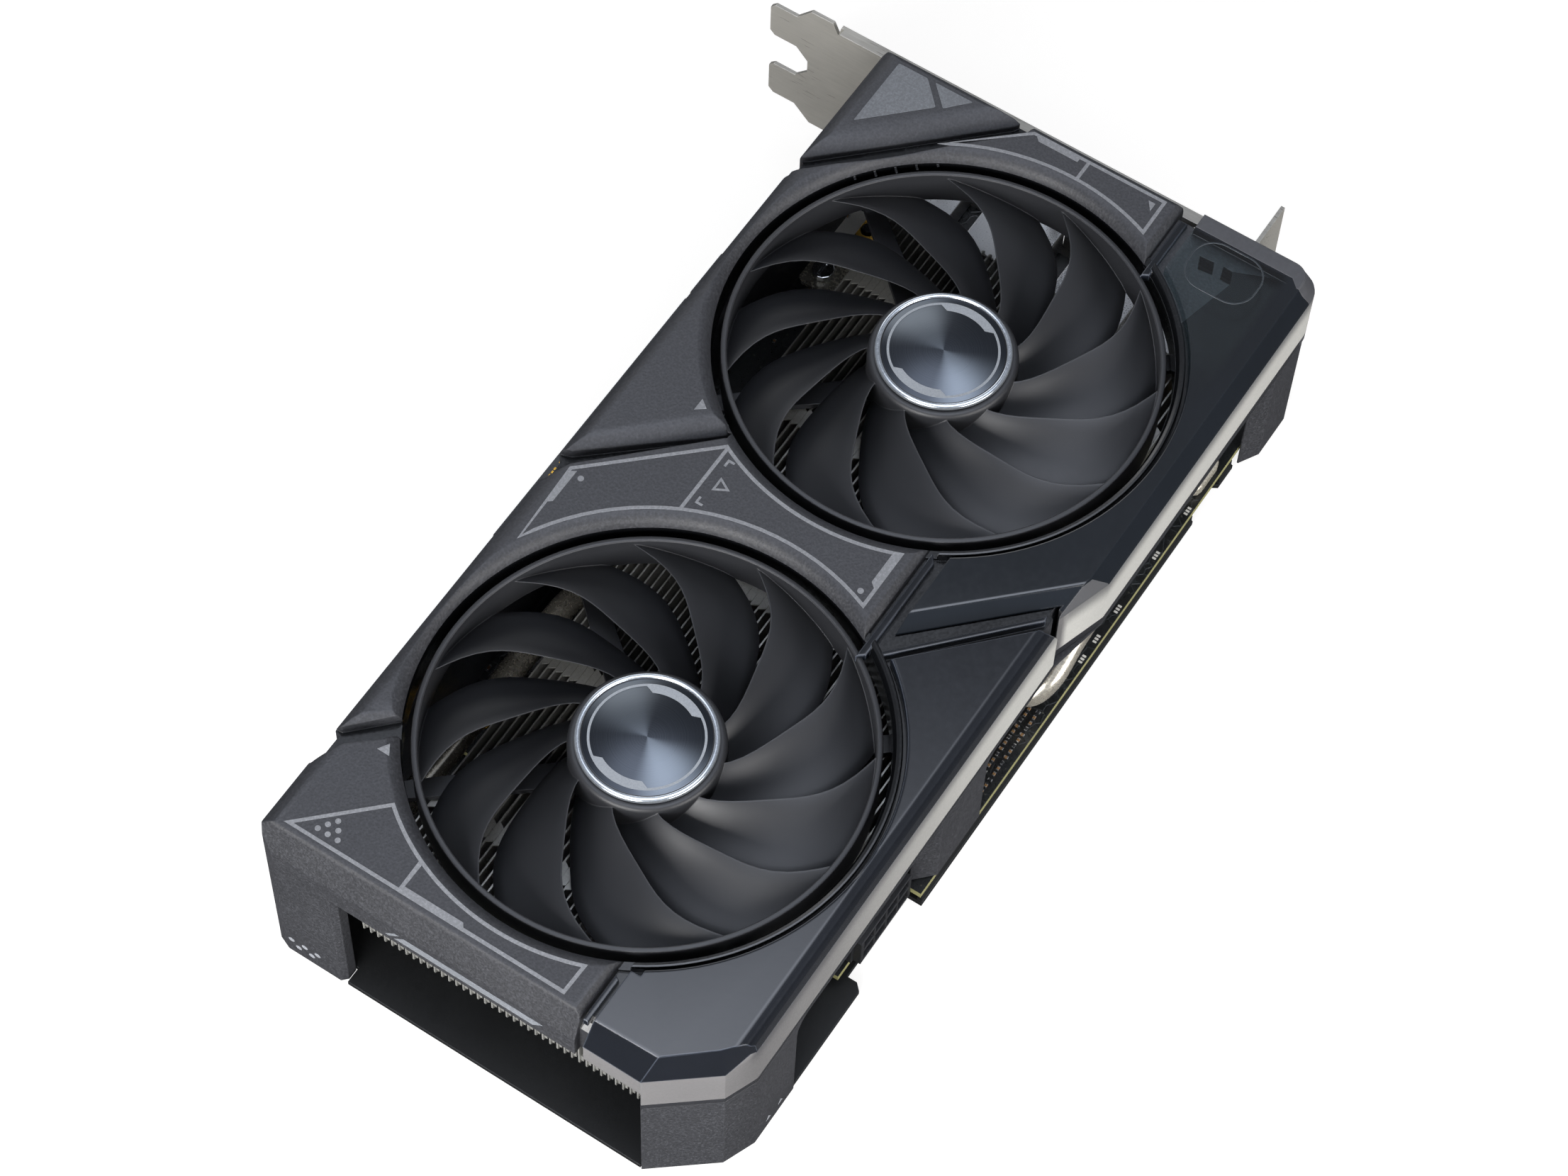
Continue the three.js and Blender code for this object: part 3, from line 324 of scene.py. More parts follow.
def cap_material():
    """Spun disc: fine concentric lines about each fan axis, with a pair of bright rays painted on
    as highlights.
    """
    s = new_material("cap_spun_metal")
    x, y, _ = s.xyz()
    side = s.math("GREATER_THAN", x, 0.0)
    dx = s.math("SUBTRACT", x, s.remap(side, (0, 1), (-FAN_X / 1000, FAN_X / 1000)))
    squares = s.math("ADD", s.math("MULTIPLY", dx, dx), s.math("MULTIPLY", y, y))
    rings = s.add("CombineXYZ", {0: s.math("MULTIPLY", s.math("SQRT", squares), 9000)})
    lines = s.noise(rings.outputs[0], 1.0, detail=3)
    # painted highlight: doubling the angle gives two opposite bright rays; 2.35 turns them
    angle = s.math("SUBTRACT", s.math("MULTIPLY", s.math("ARCTAN2", y, dx), 2), 2.35)
    ray = s.math("MULTIPLY", s.math("ADD", s.math("COSINE", angle), 1), 0.5)
    ray_highlight = s.remap(ray, (0.35, 1.0), smooth=True)
    colour = s.mix(s.remap(lines, (0.35, 0.65)), 0x25282D, 0x373B41)
    colour = s.mix(s.math("MULTIPLY", ray_highlight, 0.30), colour, 0x868E96)
    s.body(colour, s.remap(lines, NOISE, (0.26, 0.38)), s.bump(lines, 0.006), metal=0.85)


def cap_rim_material():
    s = new_material("cap_bright_rim")
    fine = s.noise(s.coords(), 1500)
    colour = s.mix(fine, 0x969DA5, 0xB6BCC3)
    s.body(colour, s.remap(fine, NOISE, (0.14, 0.22)), s.bump(fine, 0.003), metal=0.75)


def smoked_material():
    """Dark gloss plastic; towards the bracket it is a smoked window onto what lies under it."""
    s = new_material("smoked_gloss")
    at = s.coords()
    broad = s.noise(at, 45, detail=3)
    fine = s.noise(at, 700)
    x, y, z = s.xyz()
    colour = s.mix(broad, 0x11151A, 0x181D24)
    normal = s.bump(fine, 0.0025, s.rounded(0.35))
    s.body(colour, s.remap(fine, NOISE, (0.06, 0.10)), normal)
    clear = s.add("BsdfTransparent", {"Color": (0.82, 0.87, 0.88)})
    sheen = s.add("BsdfGlossy", {"Roughness": 0.07, "Color": (1, 1, 1)})
    backfacing = s.add("NewGeometry").outputs["Backfacing"]
    # only the outer face reflects
    reflected = s.remap(backfacing, (0, 1), (0.045, 0.0))
    pane = s.mix_shaders(reflected, clear.outputs[0], sheen.outputs[0])
    # the window fades out along a slanting line and keeps to the raised top
    slant = s.math("ADD", x, s.math("MULTIPLY", y, 0.35))
    zone = s.remap(slant, (-0.0700, -0.0460), (1.0, 0.0), smooth=True)
    zone = s.math("MULTIPLY", zone, s.remap(z, (0.0466, 0.0468)))
    zone = s.math("MULTIPLY", zone, s.remap(y, (0.0480, 0.0500), (1.0, 0.0)))
    zone = s.math("MULTIPLY", zone, s.remap(x, (-0.1066, -0.1058)))
    s.show(s.mix_shaders(zone, s.bsdf.outputs[0], pane))


band_material()
board_material()
cap_material()
cap_rim_material()
smoked_material()


# ------------------------------------------------------------------ outlines
def ccw(outline):
    points = [tuple(point) for point in outline]
    area = sum(points[i - 1][0] * y - x * points[i - 1][1] for i, (x, y) in enumerate(points))
    return points if area > 0 else points[::-1]


def rectangle(x0, x1, y0, y1):
    return [(x0, y0), (x1, y0), (x1, y1), (x0, y1)]


def inset(outline, distance):
    """Moves every side of a counterclockwise outline inwards."""
    moved = []
    for i, (x, y) in enumerate(outline):
        before, after = outline[i - 1], outline[(i + 1) % len(outline)]
        ux, uy = x - before[0], y - before[1]
        wx, wy = after[0] - x, after[1] - y
        u_len, w_len = math.hypot(ux, uy), math.hypot(wx, wy)
        n0x, n0y = -uy / u_len, ux / u_len
        n1x, n1y = -wy / w_len, wx / w_len
        reach = distance / max(0.25, 1 + n0x * n1x + n0y * n1y)
        moved.append((x + (n0x + n1x) * reach, y + (n0y + n1y) * reach))
    return moved


def arc(x, y, radius, start, end, steps):
    """Points along an arc, angles in degrees."""
    angles = [math.radians(start + (end - start) * i / steps) for i in range(steps + 1)]
    return [(x + radius * math.cos(a), y + radius * math.sin(a)) for a in angles]


def round_rect(x0, x1, y0, y1, r, steps):
    return [
        *arc(x1 - r, y0 + r, r, -90, 0, steps), *arc(x1 - r, y1 - r, r, 0, 90, steps),
        *arc(x0 + r, y1 - r, r, 90, 180, steps), *arc(x0 + r, y0 + r, r, 180, 270, steps),
    ]


def soften(outline, radius, steps=3):
    """Rounds the corners of an outline."""
    outline = ccw(outline)
    rounded = []
    for i, point in enumerate(outline):
        corner = Vector(point)
        back = Vector(outline[i - 1]) - corner
        ahead = Vector(outline[(i + 1) % len(outline)]) - corner
        reach = min(radius, back.length * 0.4, ahead.length * 0.4)
        start = corner + back.normalized() * reach
        end = corner + ahead.normalized() * reach
        for j in range(steps + 1):
            t = j / steps
            rounded.append(tuple(start * (1 - t) ** 2 + corner * 2 * t * (1 - t) + end * t ** 2))
    return rounded


# ------------------------------------------------------------------ solids
def build(verts, faces, mats=0):
    """Mesh from points and faces. mats is one material index, or one per face."""
    mesh = bpy.data.meshes.new("m")
    mesh.from_pydata([tuple(map(float, v)) for v in verts], [], faces)
    mats = [mats] * len(faces) if isinstance(mats, int) else mats
    mesh.polygons.foreach_set("material_index", mats)
    mesh.update()
    return mesh


def outward(mesh):
    """Turns the faces outwards if the enclosed volume comes out negative."""
    mesh.calc_loop_triangles()
    points = np.array([v.co for v in mesh.vertices])
    corners = points[np.array([list(t.vertices) for t in mesh.loop_triangles])]
    if np.linalg.det(corners).sum() < 0:
        mesh.flip_normals()
    return mesh


def skin(rings, mat=0):
    """Closed solid through rings of 3D points, equal in number."""
    count = len(rings[0])
    last = (len(rings) - 1) * count
    faces = [tuple(range(count - 1, -1, -1))]
    for low in range(0, last, count):
        high = low + count
        for i in range(count):
            j = (i + 1) % count
            faces.append((low + i, low + j, high + j, high + i))
    faces.append(tuple(range(last, last + count)))
    return build([point for ring in rings for point in ring], faces, mat)


def loft(rings, mat=0):
    """Closed solid through outlines of equal length, each (points, z), lowest first."""
    return skin([[(x, y, z) for x, y in points] for points, z in rings], mat)


def prism(outline, z0, z1, mat=0):
    outline = ccw(outline)
    return loft([(outline, z0), (outline, z1)], mat)


def swap_axes(mesh, order):
    points = np.array([v.co for v in mesh.vertices])[:, order]
    mesh.vertices.foreach_set("co", points.astype(np.float32).ravel())
    return mesh


def prism_x(outline, x0, x1, mat=0):
    """Prism along X from an outline of (y, z)."""
    mesh = swap_axes(prism(outline, x0, x1, mat), [2, 0, 1])
    mesh.update()
    return mesh


def prism_y(outline, y0, y1):
    """Prism along Y from an outline of (x, z)."""
    mesh = swap_axes(prism(outline, y0, y1), [0, 2, 1])
    mesh.flip_normals()
    mesh.update()
    return mesh


def block(x0, x1, y0, y1, z0, z1):
    return prism(rectangle(x0, x1, y0, y1), z0, z1)


def plate(outline, z0, z1, radius, steps=3, mat=0):
    """Prism with its top edge rounded."""
    outline = ccw(outline)
    rings = [(outline, z0)]
    for a in np.linspace(0, math.pi / 2, steps + 1):
        ring = inset(outline, radius * (1 - math.cos(a))) if a else outline
        rings.append((ring, z1 - radius * (1 - math.sin(a))))
    return loft(rings, mat)


def turned(profile, segments, x=0.0, y=0.0, mats=0):
    """Closed profile of (radius, z), turned about Z.
    mats is one material index, or one per profile edge."""
    mats = [mats] * len(profile) if isinstance(mats, int) else mats
    angles = [2 * math.pi * k / segments for k in range(segments)]
    verts, rows = [], []
    for radius, z in profile:
        start = len(verts)
        if radius < 1e-6:
            rows.append([start] * segments)
            verts.append((x, y, z))
        else:
            rows.append(list(range(start, start + segments)))
            verts += [(x + radius * math.cos(a), y + radius * math.sin(a), z) for a in angles]
    faces, face_mats = [], []
    for i, row in enumerate(rows):
        following = rows[(i + 1) % len(rows)]
        if row[0] == row[1] and following[0] == following[1]:
            continue  # both ends lie on the axis
        for k in range(segments):
            j = (k + 1) % segments
            corners = (row[k], row[j], following[j], following[k])
            faces.append(tuple(dict.fromkeys(corners)))
            face_mats.append(mats[i])
    return outward(build(verts, faces, face_mats))


def rod(radius, z0, z1, x, y, segments, mat=0):
    return turned([(0, z0), (radius, z0), (radius, z1), (0, z1)], segments, x, y, mat)


def merged(*meshes):
    """Several meshes as one, not joined at their surfaces."""
    verts, faces, mats = [], [], []
    for mesh in meshes:
        start = len(verts)
        verts += [tuple(v.co) for v in mesh.vertices]
        for face in mesh.polygons:
            faces.append(tuple(i + start for i in face.vertices))
            mats.append(face.material_index)
    return build(verts, faces, mats)


def boolean(solid, tools, operation):
    for tool in tools:
        objects = [bpy.data.objects.new("solid", solid), bpy.data.objects.new("tool", tool)]
        for obj in objects:
            # enough slots for every material index to survive
            while len(obj.data.materials) < 6:
                obj.data.materials.append(MATERIALS["plain_black"])
            scene.collection.objects.link(obj)
        modifier = objects[0].modifiers.new("bool", "BOOLEAN")
        modifier.object = objects[1]
        modifier.operation = operation
        modifier.solver = "MANIFOLD"
        depsgraph = bpy.context.evaluated_depsgraph_get()
        solid = bpy.data.meshes.new_from_object(objects[0].evaluated_get(depsgraph))
        for obj in objects:
            bpy.data.objects.remove(obj)
        if len(solid.polygons) == 0:
            raise RuntimeError("an empty boolean")
    return solid


def cut(solid, *tools):
    return boolean(solid, tools, "DIFFERENCE")


def union(solid, *tools):
    return boolean(solid, tools, "UNION")


def common(solid, *tools):
    return boolean(solid, tools, "INTERSECT")


def wedge(start, end, section):
    """Straight bar between two plan points. section holds (distance to the left, z)."""
    start, end = Vector(start), Vector(end)
    along = (end - start).normalized()
    left = Vector((-along.y, along.x))
    section = ccw(section)
    verts = [(*(point + left * d), z) for point in (start, end) for d, z in section]
    n = len(section)
    faces = [tuple(range(n)), tuple(range(2 * n - 1, n - 1, -1))]
    faces += [(i, i + n, (i + 1) % n + n, (i + 1) % n) for i in range(n)]
    return outward(build(verts, faces))


def smooth_path(points, steps):
    """Centripetal Catmull-Rom curve through 3D points."""
    points = [Vector(point) for point in points]
    points = [points[0] * 2 - points[1], *points, points[-1] * 2 - points[-2]]
    knots = [0.0]
    for before, after in zip(points, points[1:]):
        knots.append(knots[-1] + max(1e-6, (after - before).length ** 0.5))

    def between(first, second, start, end):
        return first * ((end - t) / (end - start)) + second * ((t - start) / (end - start))

    path = []
    for k in range(steps + 1):
        t = knots[1] + (knots[-2] - knots[1]) * k / steps
        i = 1
        while i < len(points) - 3 and t > knots[i + 1]:
            i += 1
        near, times = points[i - 1:i + 3], knots[i - 1:i + 3]
        for span in (1, 2):
            near = [between(near[j], near[j + 1], times[j], times[j + span])
                    for j in range(4 - span)]
        path.append(between(*near, times[1], times[2]))
    return path


# rounded tube end: (share of radius, share of a radius towards the tip)
ROUND_END = [(0.92, 0.38), (0.7, 0.7), (0.38, 0.92)]


def tube(points, radius, steps, segments):
    """Round tube along a smooth path that doesn't start upright."""
    path = smooth_path(points, steps)
    normal = Vector((0, 0, 1))
    stations = []  # centre, direction, normal, radius
    for i, centre in enumerate(path):
        along = (path[min(i + 1, steps)] - path[max(i - 1, 0)]).normalized()
        normal = (normal - along * normal.dot(along)).normalized()
        stations.append((centre, along, normal, radius))
    (start, start_dir, start_normal, _), (end, end_dir, end_normal, _) = stations[0], stations[-1]
    head = [(start + start_dir * (radius - radius * tip), start_dir, start_normal, radius * share)
            for share, tip in reversed(ROUND_END)]
    tail = [(end - end_dir * (radius - radius * tip), end_dir, end_normal, radius * share)
            for share, tip in ROUND_END]
    middle = [s for s in stations
              if (s[0] - start).length > radius and (s[0] - end).length > radius]
    angles = [2 * math.pi * k / segments for k in range(segments)]
    rings = []
    for centre, along, normal, r in head + middle + tail:
        side = along.cross(normal)
        rings.append([centre + normal * (r * math.cos(a)) + side * (r * math.sin(a))
                      for a in angles])
    return outward(skin(rings))


def ribbon(points, width, z0, z1, closed=False):
    """Flat line along a plan path, mitred at its corners."""
    n = len(points)
    left, right = [], []
    for i, point in enumerate(points):
        here = Vector(point)
        back = Vector(points[i - 1]) if closed or i else here
        ahead = Vector(points[(i + 1) % n]) if closed or i < n - 1 else here
        arriving = here - back if here != back else ahead - here
        leaving = ahead - here if here != ahead else arriving
        arriving, leaving = arriving.normalized(), leaving.normalized()
        n0, n1 = Vector((-arriving.y, arriving.x)), Vector((-leaving.y, leaving.x))
        offset = (n0 + n1) * ((width / 2) / max(0.3, 1 + n0.dot(n1)))
        left.append((point[0] + offset.x, point[1] + offset.y))
        right.append((point[0] - offset.x, point[1] - offset.y))
    verts = [(*point, z) for z in (z0, z1) for row in (left, right) for point in row]
    rows = (0, n, 3 * n, 2 * n)  # low left, low right, high right, high left
    a, b, c, d = rows
    faces = []
    for i in range(n if closed else n - 1):
        j = (i + 1) % n
        faces += [(d + i, c + i, c + j, d + j), (a + i, a + j, b + j, b + i),
                  (a + i, d + i, d + j, a + j), (b + i, b + j, c + j, c + i)]
    if not closed:
        faces += [rows, tuple(row + n - 1 for row in (a, d, c, b))]
    return outward(build(verts, faces))


def place(name, mesh, rides, mats, replaces=(), angle=32, weighted=True):
    """Takes a finished mesh in millimetres into the frame as a named piece."""
    mesh = mesh.copy()
    mesh.name = name
    mesh.transform(Matrix.Scale(0.001, 4))
    indices = [face.material_index for face in mesh.polygons]
    mesh.materials.clear()  # also sets every face back to the first material
    for mat in mats:
        mesh.materials.append(MATERIALS[mat])
    for face, index in zip(mesh.polygons, indices):
        face.material_index = min(index, len(mats) - 1)
    mesh.shade_smooth()
    mesh.set_sharp_from_angle(angle=math.radians(angle))
    obj = bpy.data.objects.new(name, mesh)
    scene.collection.objects.link(obj)
    if weighted:
        modifier = obj.modifiers.new("weighted", "WEIGHTED_NORMAL")
        modifier.keep_sharp = True
        modifier.weight = 80
    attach(obj, rides)
    if replaces:
        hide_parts(*replaces)


def paint(mesh, rule):
    """Sets each face's material from rule(centre, normal, current index), in millimetres."""
    mesh.update()
    for face in mesh.polygons:
        face.material_index = rule(face.center, face.normal, face.material_index)
    return mesh


# ------------------------------------------------------------------ shroud
GROOVE_Z = TOP - 3.6
# flare at the top of a fan bore: (radius, z)
MOUTH = [(BORE_R, 46.1), (46.95, 47.0), (47.3, 47.9), (47.85, 48.7), (48.55, 49.25),
         (49.35, 49.55), (49.9, TOP + 0.02)]
# raised collar round a fan bore: (radius, z)
COLLAR = [(BORE_R, 40), (48.7, 40), (48.7, 48.2), (48.5, 48.55), (48.1, 48.6), (47.5, 48.3),
          (47.0, 47.4), (BORE_R, 46.1)]
# plan of the outer wall and of the space inside: (x, y)
SHROUD_PLAN = [
    (LEFT_X, -49.4), (-109.0, SLOT_SIDE_Y), (107.4, SLOT_SIDE_Y), (109.6, -49.3), (FAR_X, -46.6),
    (FAR_X, 37.4), (100.9, 49.6), (94.1, PLUG_SIDE_Y), (-12.4, PLUG_SIDE_Y),
    (-26.4, PLUG_SIDE_OUTER_Y), (-107.2, PLUG_SIDE_OUTER_Y), (LEFT_X, 52.0),
]
CAVITY_PLAN = [(-106.5, -48.4), (107.2, -48.4), (107.2, 35.6), (98.6, 46.4), (92.8, 48.4),
               (-106.5, 48.4)]
# the shroud seen along Y, with its chamfered ends: (x, z)
SHROUD_LENGTHWISE = [
    (-120, 0), (FAR_X, 0), (FAR_X, 41.6), (110.55, 42.3), (108.25, 48.9), (107.8, 49.4),
    (107.2, TOP), (-108.9, TOP), (-109.7, 49.2), (LEFT_X, 48.2), (-120, 48.2),
]
# the shroud seen along X, rolled over on the slot side: (y, z)
SHROUD_CROSSWISE = [
    (60, 0), (60, TOP),
    *[(SLOT_SIDE_Y + 4.4 + 4.4 * math.cos(t), TOP - 4.2 + 4.2 * math.sin(t))
      for t in np.linspace(math.pi / 2, math.pi, 13)],
    (SLOT_SIDE_Y, 0),
]
# inner edge of the rebate that takes the trims: (x, y)
REBATE_INNER = [(-108.3, TRIM_Y - 1), (108.8, TRIM_Y - 1), (108.8, 36.6), (99.7, 47.8),
                (93.5, 50.5), (-12.6, 50.5), (-13.4, 49.4), (-16, 49.4), (-27, 50.5),
                (-108.3, 50.5)]
# sunken grooves between the raised fields: (x, y)
GROOVES = [
    [(-112, -12.6), (-107.2, -13.9), (-74.6, -46.6), (-70.8, -52), (-75.6, -52), (-78.4, -48.6),
     (-109.0, -17.4), (-112, -16.0)],
    [(-12.6, -24.2), (-10.4, -24.0), (11.9, -46.3), (17.2, -49.0), (17.2, -52), (10.0, -52),
     (8.6, -48.2)],
    [(78.6, -38.6), (82.2, -40.6), (87.2, -46.4), (93.4, -49.6), (93.4, -52), (84.4, -52),
     (84.0, -49.2), (75.8, -41.2)],
]
# notches in the slot-side wall: x at the outside, inside, inside, outside
NOTCHES = [(-79.4, -77.2, -71.6, -69.8), (8.2, 10.4, 16.0, 17.6), (83.4, 85.0, 92.4, 94.2)]
# eased edge where the textured top meets the gloss trims: (y from TRIM_Y, z from TOP)
EASE = [(-2.3, 0), (-1.5, -0.18), (-0.75, -0.75), (-0.18, -1.5), (0, -2.3), (2, -2.3), (2, 2),
        (-2.3, 2)]
# rails in the seams beside the trims: outline, top, edge radius
RAILS = [
    ([(-107.5, 23.6), (-91.0, 23.6), (-92.0, 25.2), (-107.5, 25.2)], 48.0, 0.3),
    ([(-11.5, 23.5), (16.5, 23.5), (15.2, 25.1), (-9.6, 25.1)], 48.2, 0.3),
    ([(97.6, 23.2), (108.3, 23.2), (108.3, 24.2), (98.2, 24.2)], 48.0, 0.25),
    ([(13.2, 26.9), (14.2, 27.5), (-10.4, 50.0), (-11.6, 49.6)], 48.4, 0.25),
]
# openings in the power-plug side, under the band: (x, z)
PLUG_SIDE_OPENINGS = [
    [(-92, -1), (12.9, -1), (12.4, 24.0), *arc(9.0, 25.8, 3.5, 0, 90, 8), (-92, 29.3)],
    [(33.0, -1), (80.5, -1), (80.3, 24.6), *arc(76.2, 25.3, 4.0, 0, 90, 8), (33.0, 29.3)],
]
# splayed sides of those openings: (x, y)
SPLAYS = [
    [(-96.8, 60), (-96.8, 55.3), (-91.4, 52.2), (-91.4, 46), (-80, 46), (-80, 60)],
    [(28.5, 60), (28.5, 52.5), (33.4, 47.8), (34, 46), (40, 46), (40, 60)],
]
# openings in the deck under the smoked window: (x, y)
DECK_OPENINGS = [
    [(-102.9, 31.0), (-103.1, 34.2), (-100.2, 35.4), (-99.8, 32.2)],
    [(-103.3, 36.3), (-103.2, 38.5), (-100.1, 39.6), (-100.2, 37.3)],
]


def above_window(top):
    """Room over the far-end window, kept free of the trims."""
    return block(100, 122, -60, 37.4, 0, top)


def ramp(start, end, width, fall):
    """Cutter for a long soft ramp from the crest, on the line, down to a groove on its left."""
    lip = width + 0.25
    return wedge(start, end, [
        (0, TOP + 2), (0, TOP), (0.35 * width, TOP - fall * 0.16),
        (0.7 * width, TOP - fall * 0.6), (width, TOP - fall * 1.15), (lip, TOP - fall * 1.5),
        (lip, TOP + 2),
    ])


def shroud_rule(centre, normal, index):
    """0 textured, 1 near-black collar paint, also painted shade on the bore walls, groove floors
    and gaps round the trims; 2 gloss; the rails come in as 1.
    """
    x, y, z = centre
    if index == 1:
        return 2
    over_deck = y > TRIM_Y - 0.05 and z > 44
    if over_deck and x < -50 and abs(z - DECK) < 0.05:
        return 0
    # the deck and collar in the gaps round the trims are painted near-black: painted shade
    if over_deck and not (y < TRIM_Y + 0.05 and normal.y > 0.9):
        return 1
    from_axis = min(math.hypot(x - FAN_X, y), math.hypot(x + FAN_X, y))
    # groove floors and bore walls get the near-black paint: painted shade
    groove_floor = abs(z - GROOVE_Z) < 0.05 and normal.z > 0.9
    return int((from_axis < 47.05 and z < 47.6) or groove_floor)


shell = common(
    prism(SHROUD_PLAN, 0.3, TOP),
    prism_y(SHROUD_LENGTHWISE, -60, 60),
    prism_x(SHROUD_CROSSWISE, -120, 120),
)
rebate = cut(prism(rectangle(-121, 121, TRIM_Y, 62), 20, 60), prism(REBATE_INNER, 19, 61))
rebate = common(rebate, block(-122, 122, -70, 70, BAND_LOW - 0.3, 61))
shell = cut(
    shell,
    prism(CAVITY_PLAN, -1, CEILING),
    block(-120, 60.5, -60, -47.5, -1, 7.0),
    block(-120, -106, -60, 48.0, -1, 38.0),
    cut(rebate, above_window(35.8)),
    block(-121, 121, TRIM_Y, 62, DECK, 60),
    prism_y([(109.6, 43.6), (109.6, 48), (104.6, 48)], TRIM_Y, 60),
)
for x in (-FAN_X, FAN_X):
    shell = union(shell, turned(COLLAR, ROUND, x))
    mouth = turned([(0, 46.1), *MOUTH, (49.9, 60), (0, 60)], ROUND, x)
    shell = cut(
        shell,
        rod(BORE_R, 39, 47, x, 0, ROUND),
        cut(mouth, block(-130, 130, TRIM_Y, 60, 40, 70)),
        rod(BORE_R, 40, 60, x, 0, ROUND),
    )
    for angle in map(math.radians, (50, 130, 230, 310)):
        boss_x, boss_y = x + 51.6 * math.cos(angle), 51.6 * math.sin(angle)
        shell = union(shell, rod(2.6, 36.2, CEILING + 0.5, boss_x, boss_y, 20))
shell = cut(shell, *[prism(groove, GROOVE_Z, TOP + 2) for groove in GROOVES])
for x0, x1, x2, x3 in NOTCHES:
    shell = cut(shell, prism([(x0, -53), (x1, -49.3), (x2, -49.3), (x3, -53)], 30, TOP + 2))
shell = cut(
    shell,
    ramp((-116.2, -17.9), (-74.2, -59.9), width=5.3, fall=2.0),
    common(ramp((-15.4, -28.2), (8.2, -53.0), width=4.6, fall=1.9),
           block(-15.2, 30, -60, -23.5, 40, 60)),
    common(ramp((74.0, -42.4), (84.6, -54.0), width=3.6, fall=1.7),
           block(70, 90, -60, -39.5, 40, 60)),
    prism_x([(TRIM_Y + y, TOP + z) for y, z in EASE], -120, 120),
)
for outline, top, radius in RAILS:
    shell = union(shell, plate(outline, DECK - 0.5, top, radius, mat=1))
shell = cut(
    shell,
    # far-end window with one splayed side
    block(100, 120, -32.8, 37.3, -1, 36.1),
    prism([(109.6, -32.9), (112, -35.2), (112, -30), (109.6, -30)], -1, 36.1),
    *[prism_y(opening, 46.0, 60) for opening in PLUG_SIDE_OPENINGS],
    *[prism(splay, -1, 29.3) for splay in SPLAYS],
    block(10, 35, 46, 60, -1, 6.3),
    block(-120, -85, 46, 52.25, -1, 26.0),
    *[prism(opening, CEILING - 1, DECK + 1) for opening in DECK_OPENINGS],
)
# short ribs along the corner groove
RIB_PITCH = 4.4
RIB_SECTION = rectangle(-0.25, 0.25, GROOVE_Z - 0.4, GROOVE_Z + 0.7)
for k in range(9):
    foot = Vector((-103.5, -18.4)) + Vector((0.707, -0.707)) * (k * RIB_PITCH)
    rib = wedge(foot + Vector((0.2, 0.2)), foot + Vector((2.3, 2.3)), RIB_SECTION)
    shell = union(shell, rib)
place("shroud_shell", paint(shell, shroud_rule), "card",
      ["textured_black", "collar_black_and_painted_shade", "gloss_black"], ["fan_shroud"],
      angle=24)

# ------------------------------------------------------------------ printed lines and marks
INK_SINK, INK_RISE = 0.03, 0.035
PRINT_R = 50.05  # printed arcs keep clear of the eased mouth
PRINT = ["print_grey", "print_fill"]
marks = []


def ink_levels():
    """Each mark stands a little higher than the last, so overlaps don't flicker."""
    return TOP - INK_SINK, TOP + INK_RISE + 0.0016 * len(marks)


def line(points, closed=False, width=0.75):
    marks.append(ribbon(points, width, *ink_levels(), closed))


def fill(points, mat=0):
    marks.append(prism(points, *ink_levels(), mat))


def dot(x, y, diameter):
    marks.append(rod(diameter / 2, *ink_levels(), x, y, 20))


def arc_round(fan_x, start, end):
    """Printed arc about a fan axis, between the directions of two points."""
    a0 = math.degrees(math.atan2(start[1], start[0] - fan_x))
    a1 = math.degrees(math.atan2(end[1], end[0] - fan_x))
    if a1 - a0 > 180:
        a1 -= 360
    if a1 - a0 < -180:
        a1 += 360
    return arc(fan_x, 0, PRINT_R, a0, a1, 24)


# bracket-side field
left_arc = arc_round(-FAN_X, (-99.2, 19.0), (-94.0, -26.9))
line([(-108.4, 19.0), *left_arc, (-108.4, -12.4)], closed=True)
divider_x = next(x for x, y in left_arc if y < 1.2)
line([(-108.0, 0.9), (divider_x, 0.9)])
fill([(-108.7, -1.2), (-107.1, -1.2), (-107.1, -10.6), (-108.7, -12.2)])
fill([(-107.0, 17.6), (-104.8, 17.6), (-107.0, 16.0)])
# saddle between the fans
saddle_left = arc_round(-FAN_X, (-7.2, 19.0), (-9.4, -22.5))
saddle_right = arc_round(FAN_X, (34.2, -46.4), (7.2, 19.0))
line([*saddle_left, (12.7, -45.6), *[p for p in saddle_right if p[1] > -46.2]], closed=True)
line([(saddle_left[-1][0], -22.5), (FAN_X - math.sqrt(PRINT_R ** 2 - 22.5 ** 2), -22.5)])
fill([(-6.6, 18.9), (2.6, 18.9), (1.5, 17.6), (-6.6, 17.6)])
fill([(13.4, -45.5), (22.0, -45.5), (20.9, -44.2), (12.6, -44.2)])
dot(4.4, 16.9, 1.3)
dot(13.6, -42.6, 1.3)
for x, way in ((-6.1, 1), (5.4, -1)):
    line([(x, -19.3), (x, -20.7), (x + 1.5 * way, -20.7)], width=0.5)
line([(-1.7, -19.6), (1.1, -19.6), (-0.3, -17.1)], closed=True, width=0.45)
# field left of the saddle
fill([(-15.3, -33.1), (-12.3, -33.1), (-13.8, -31.1)])
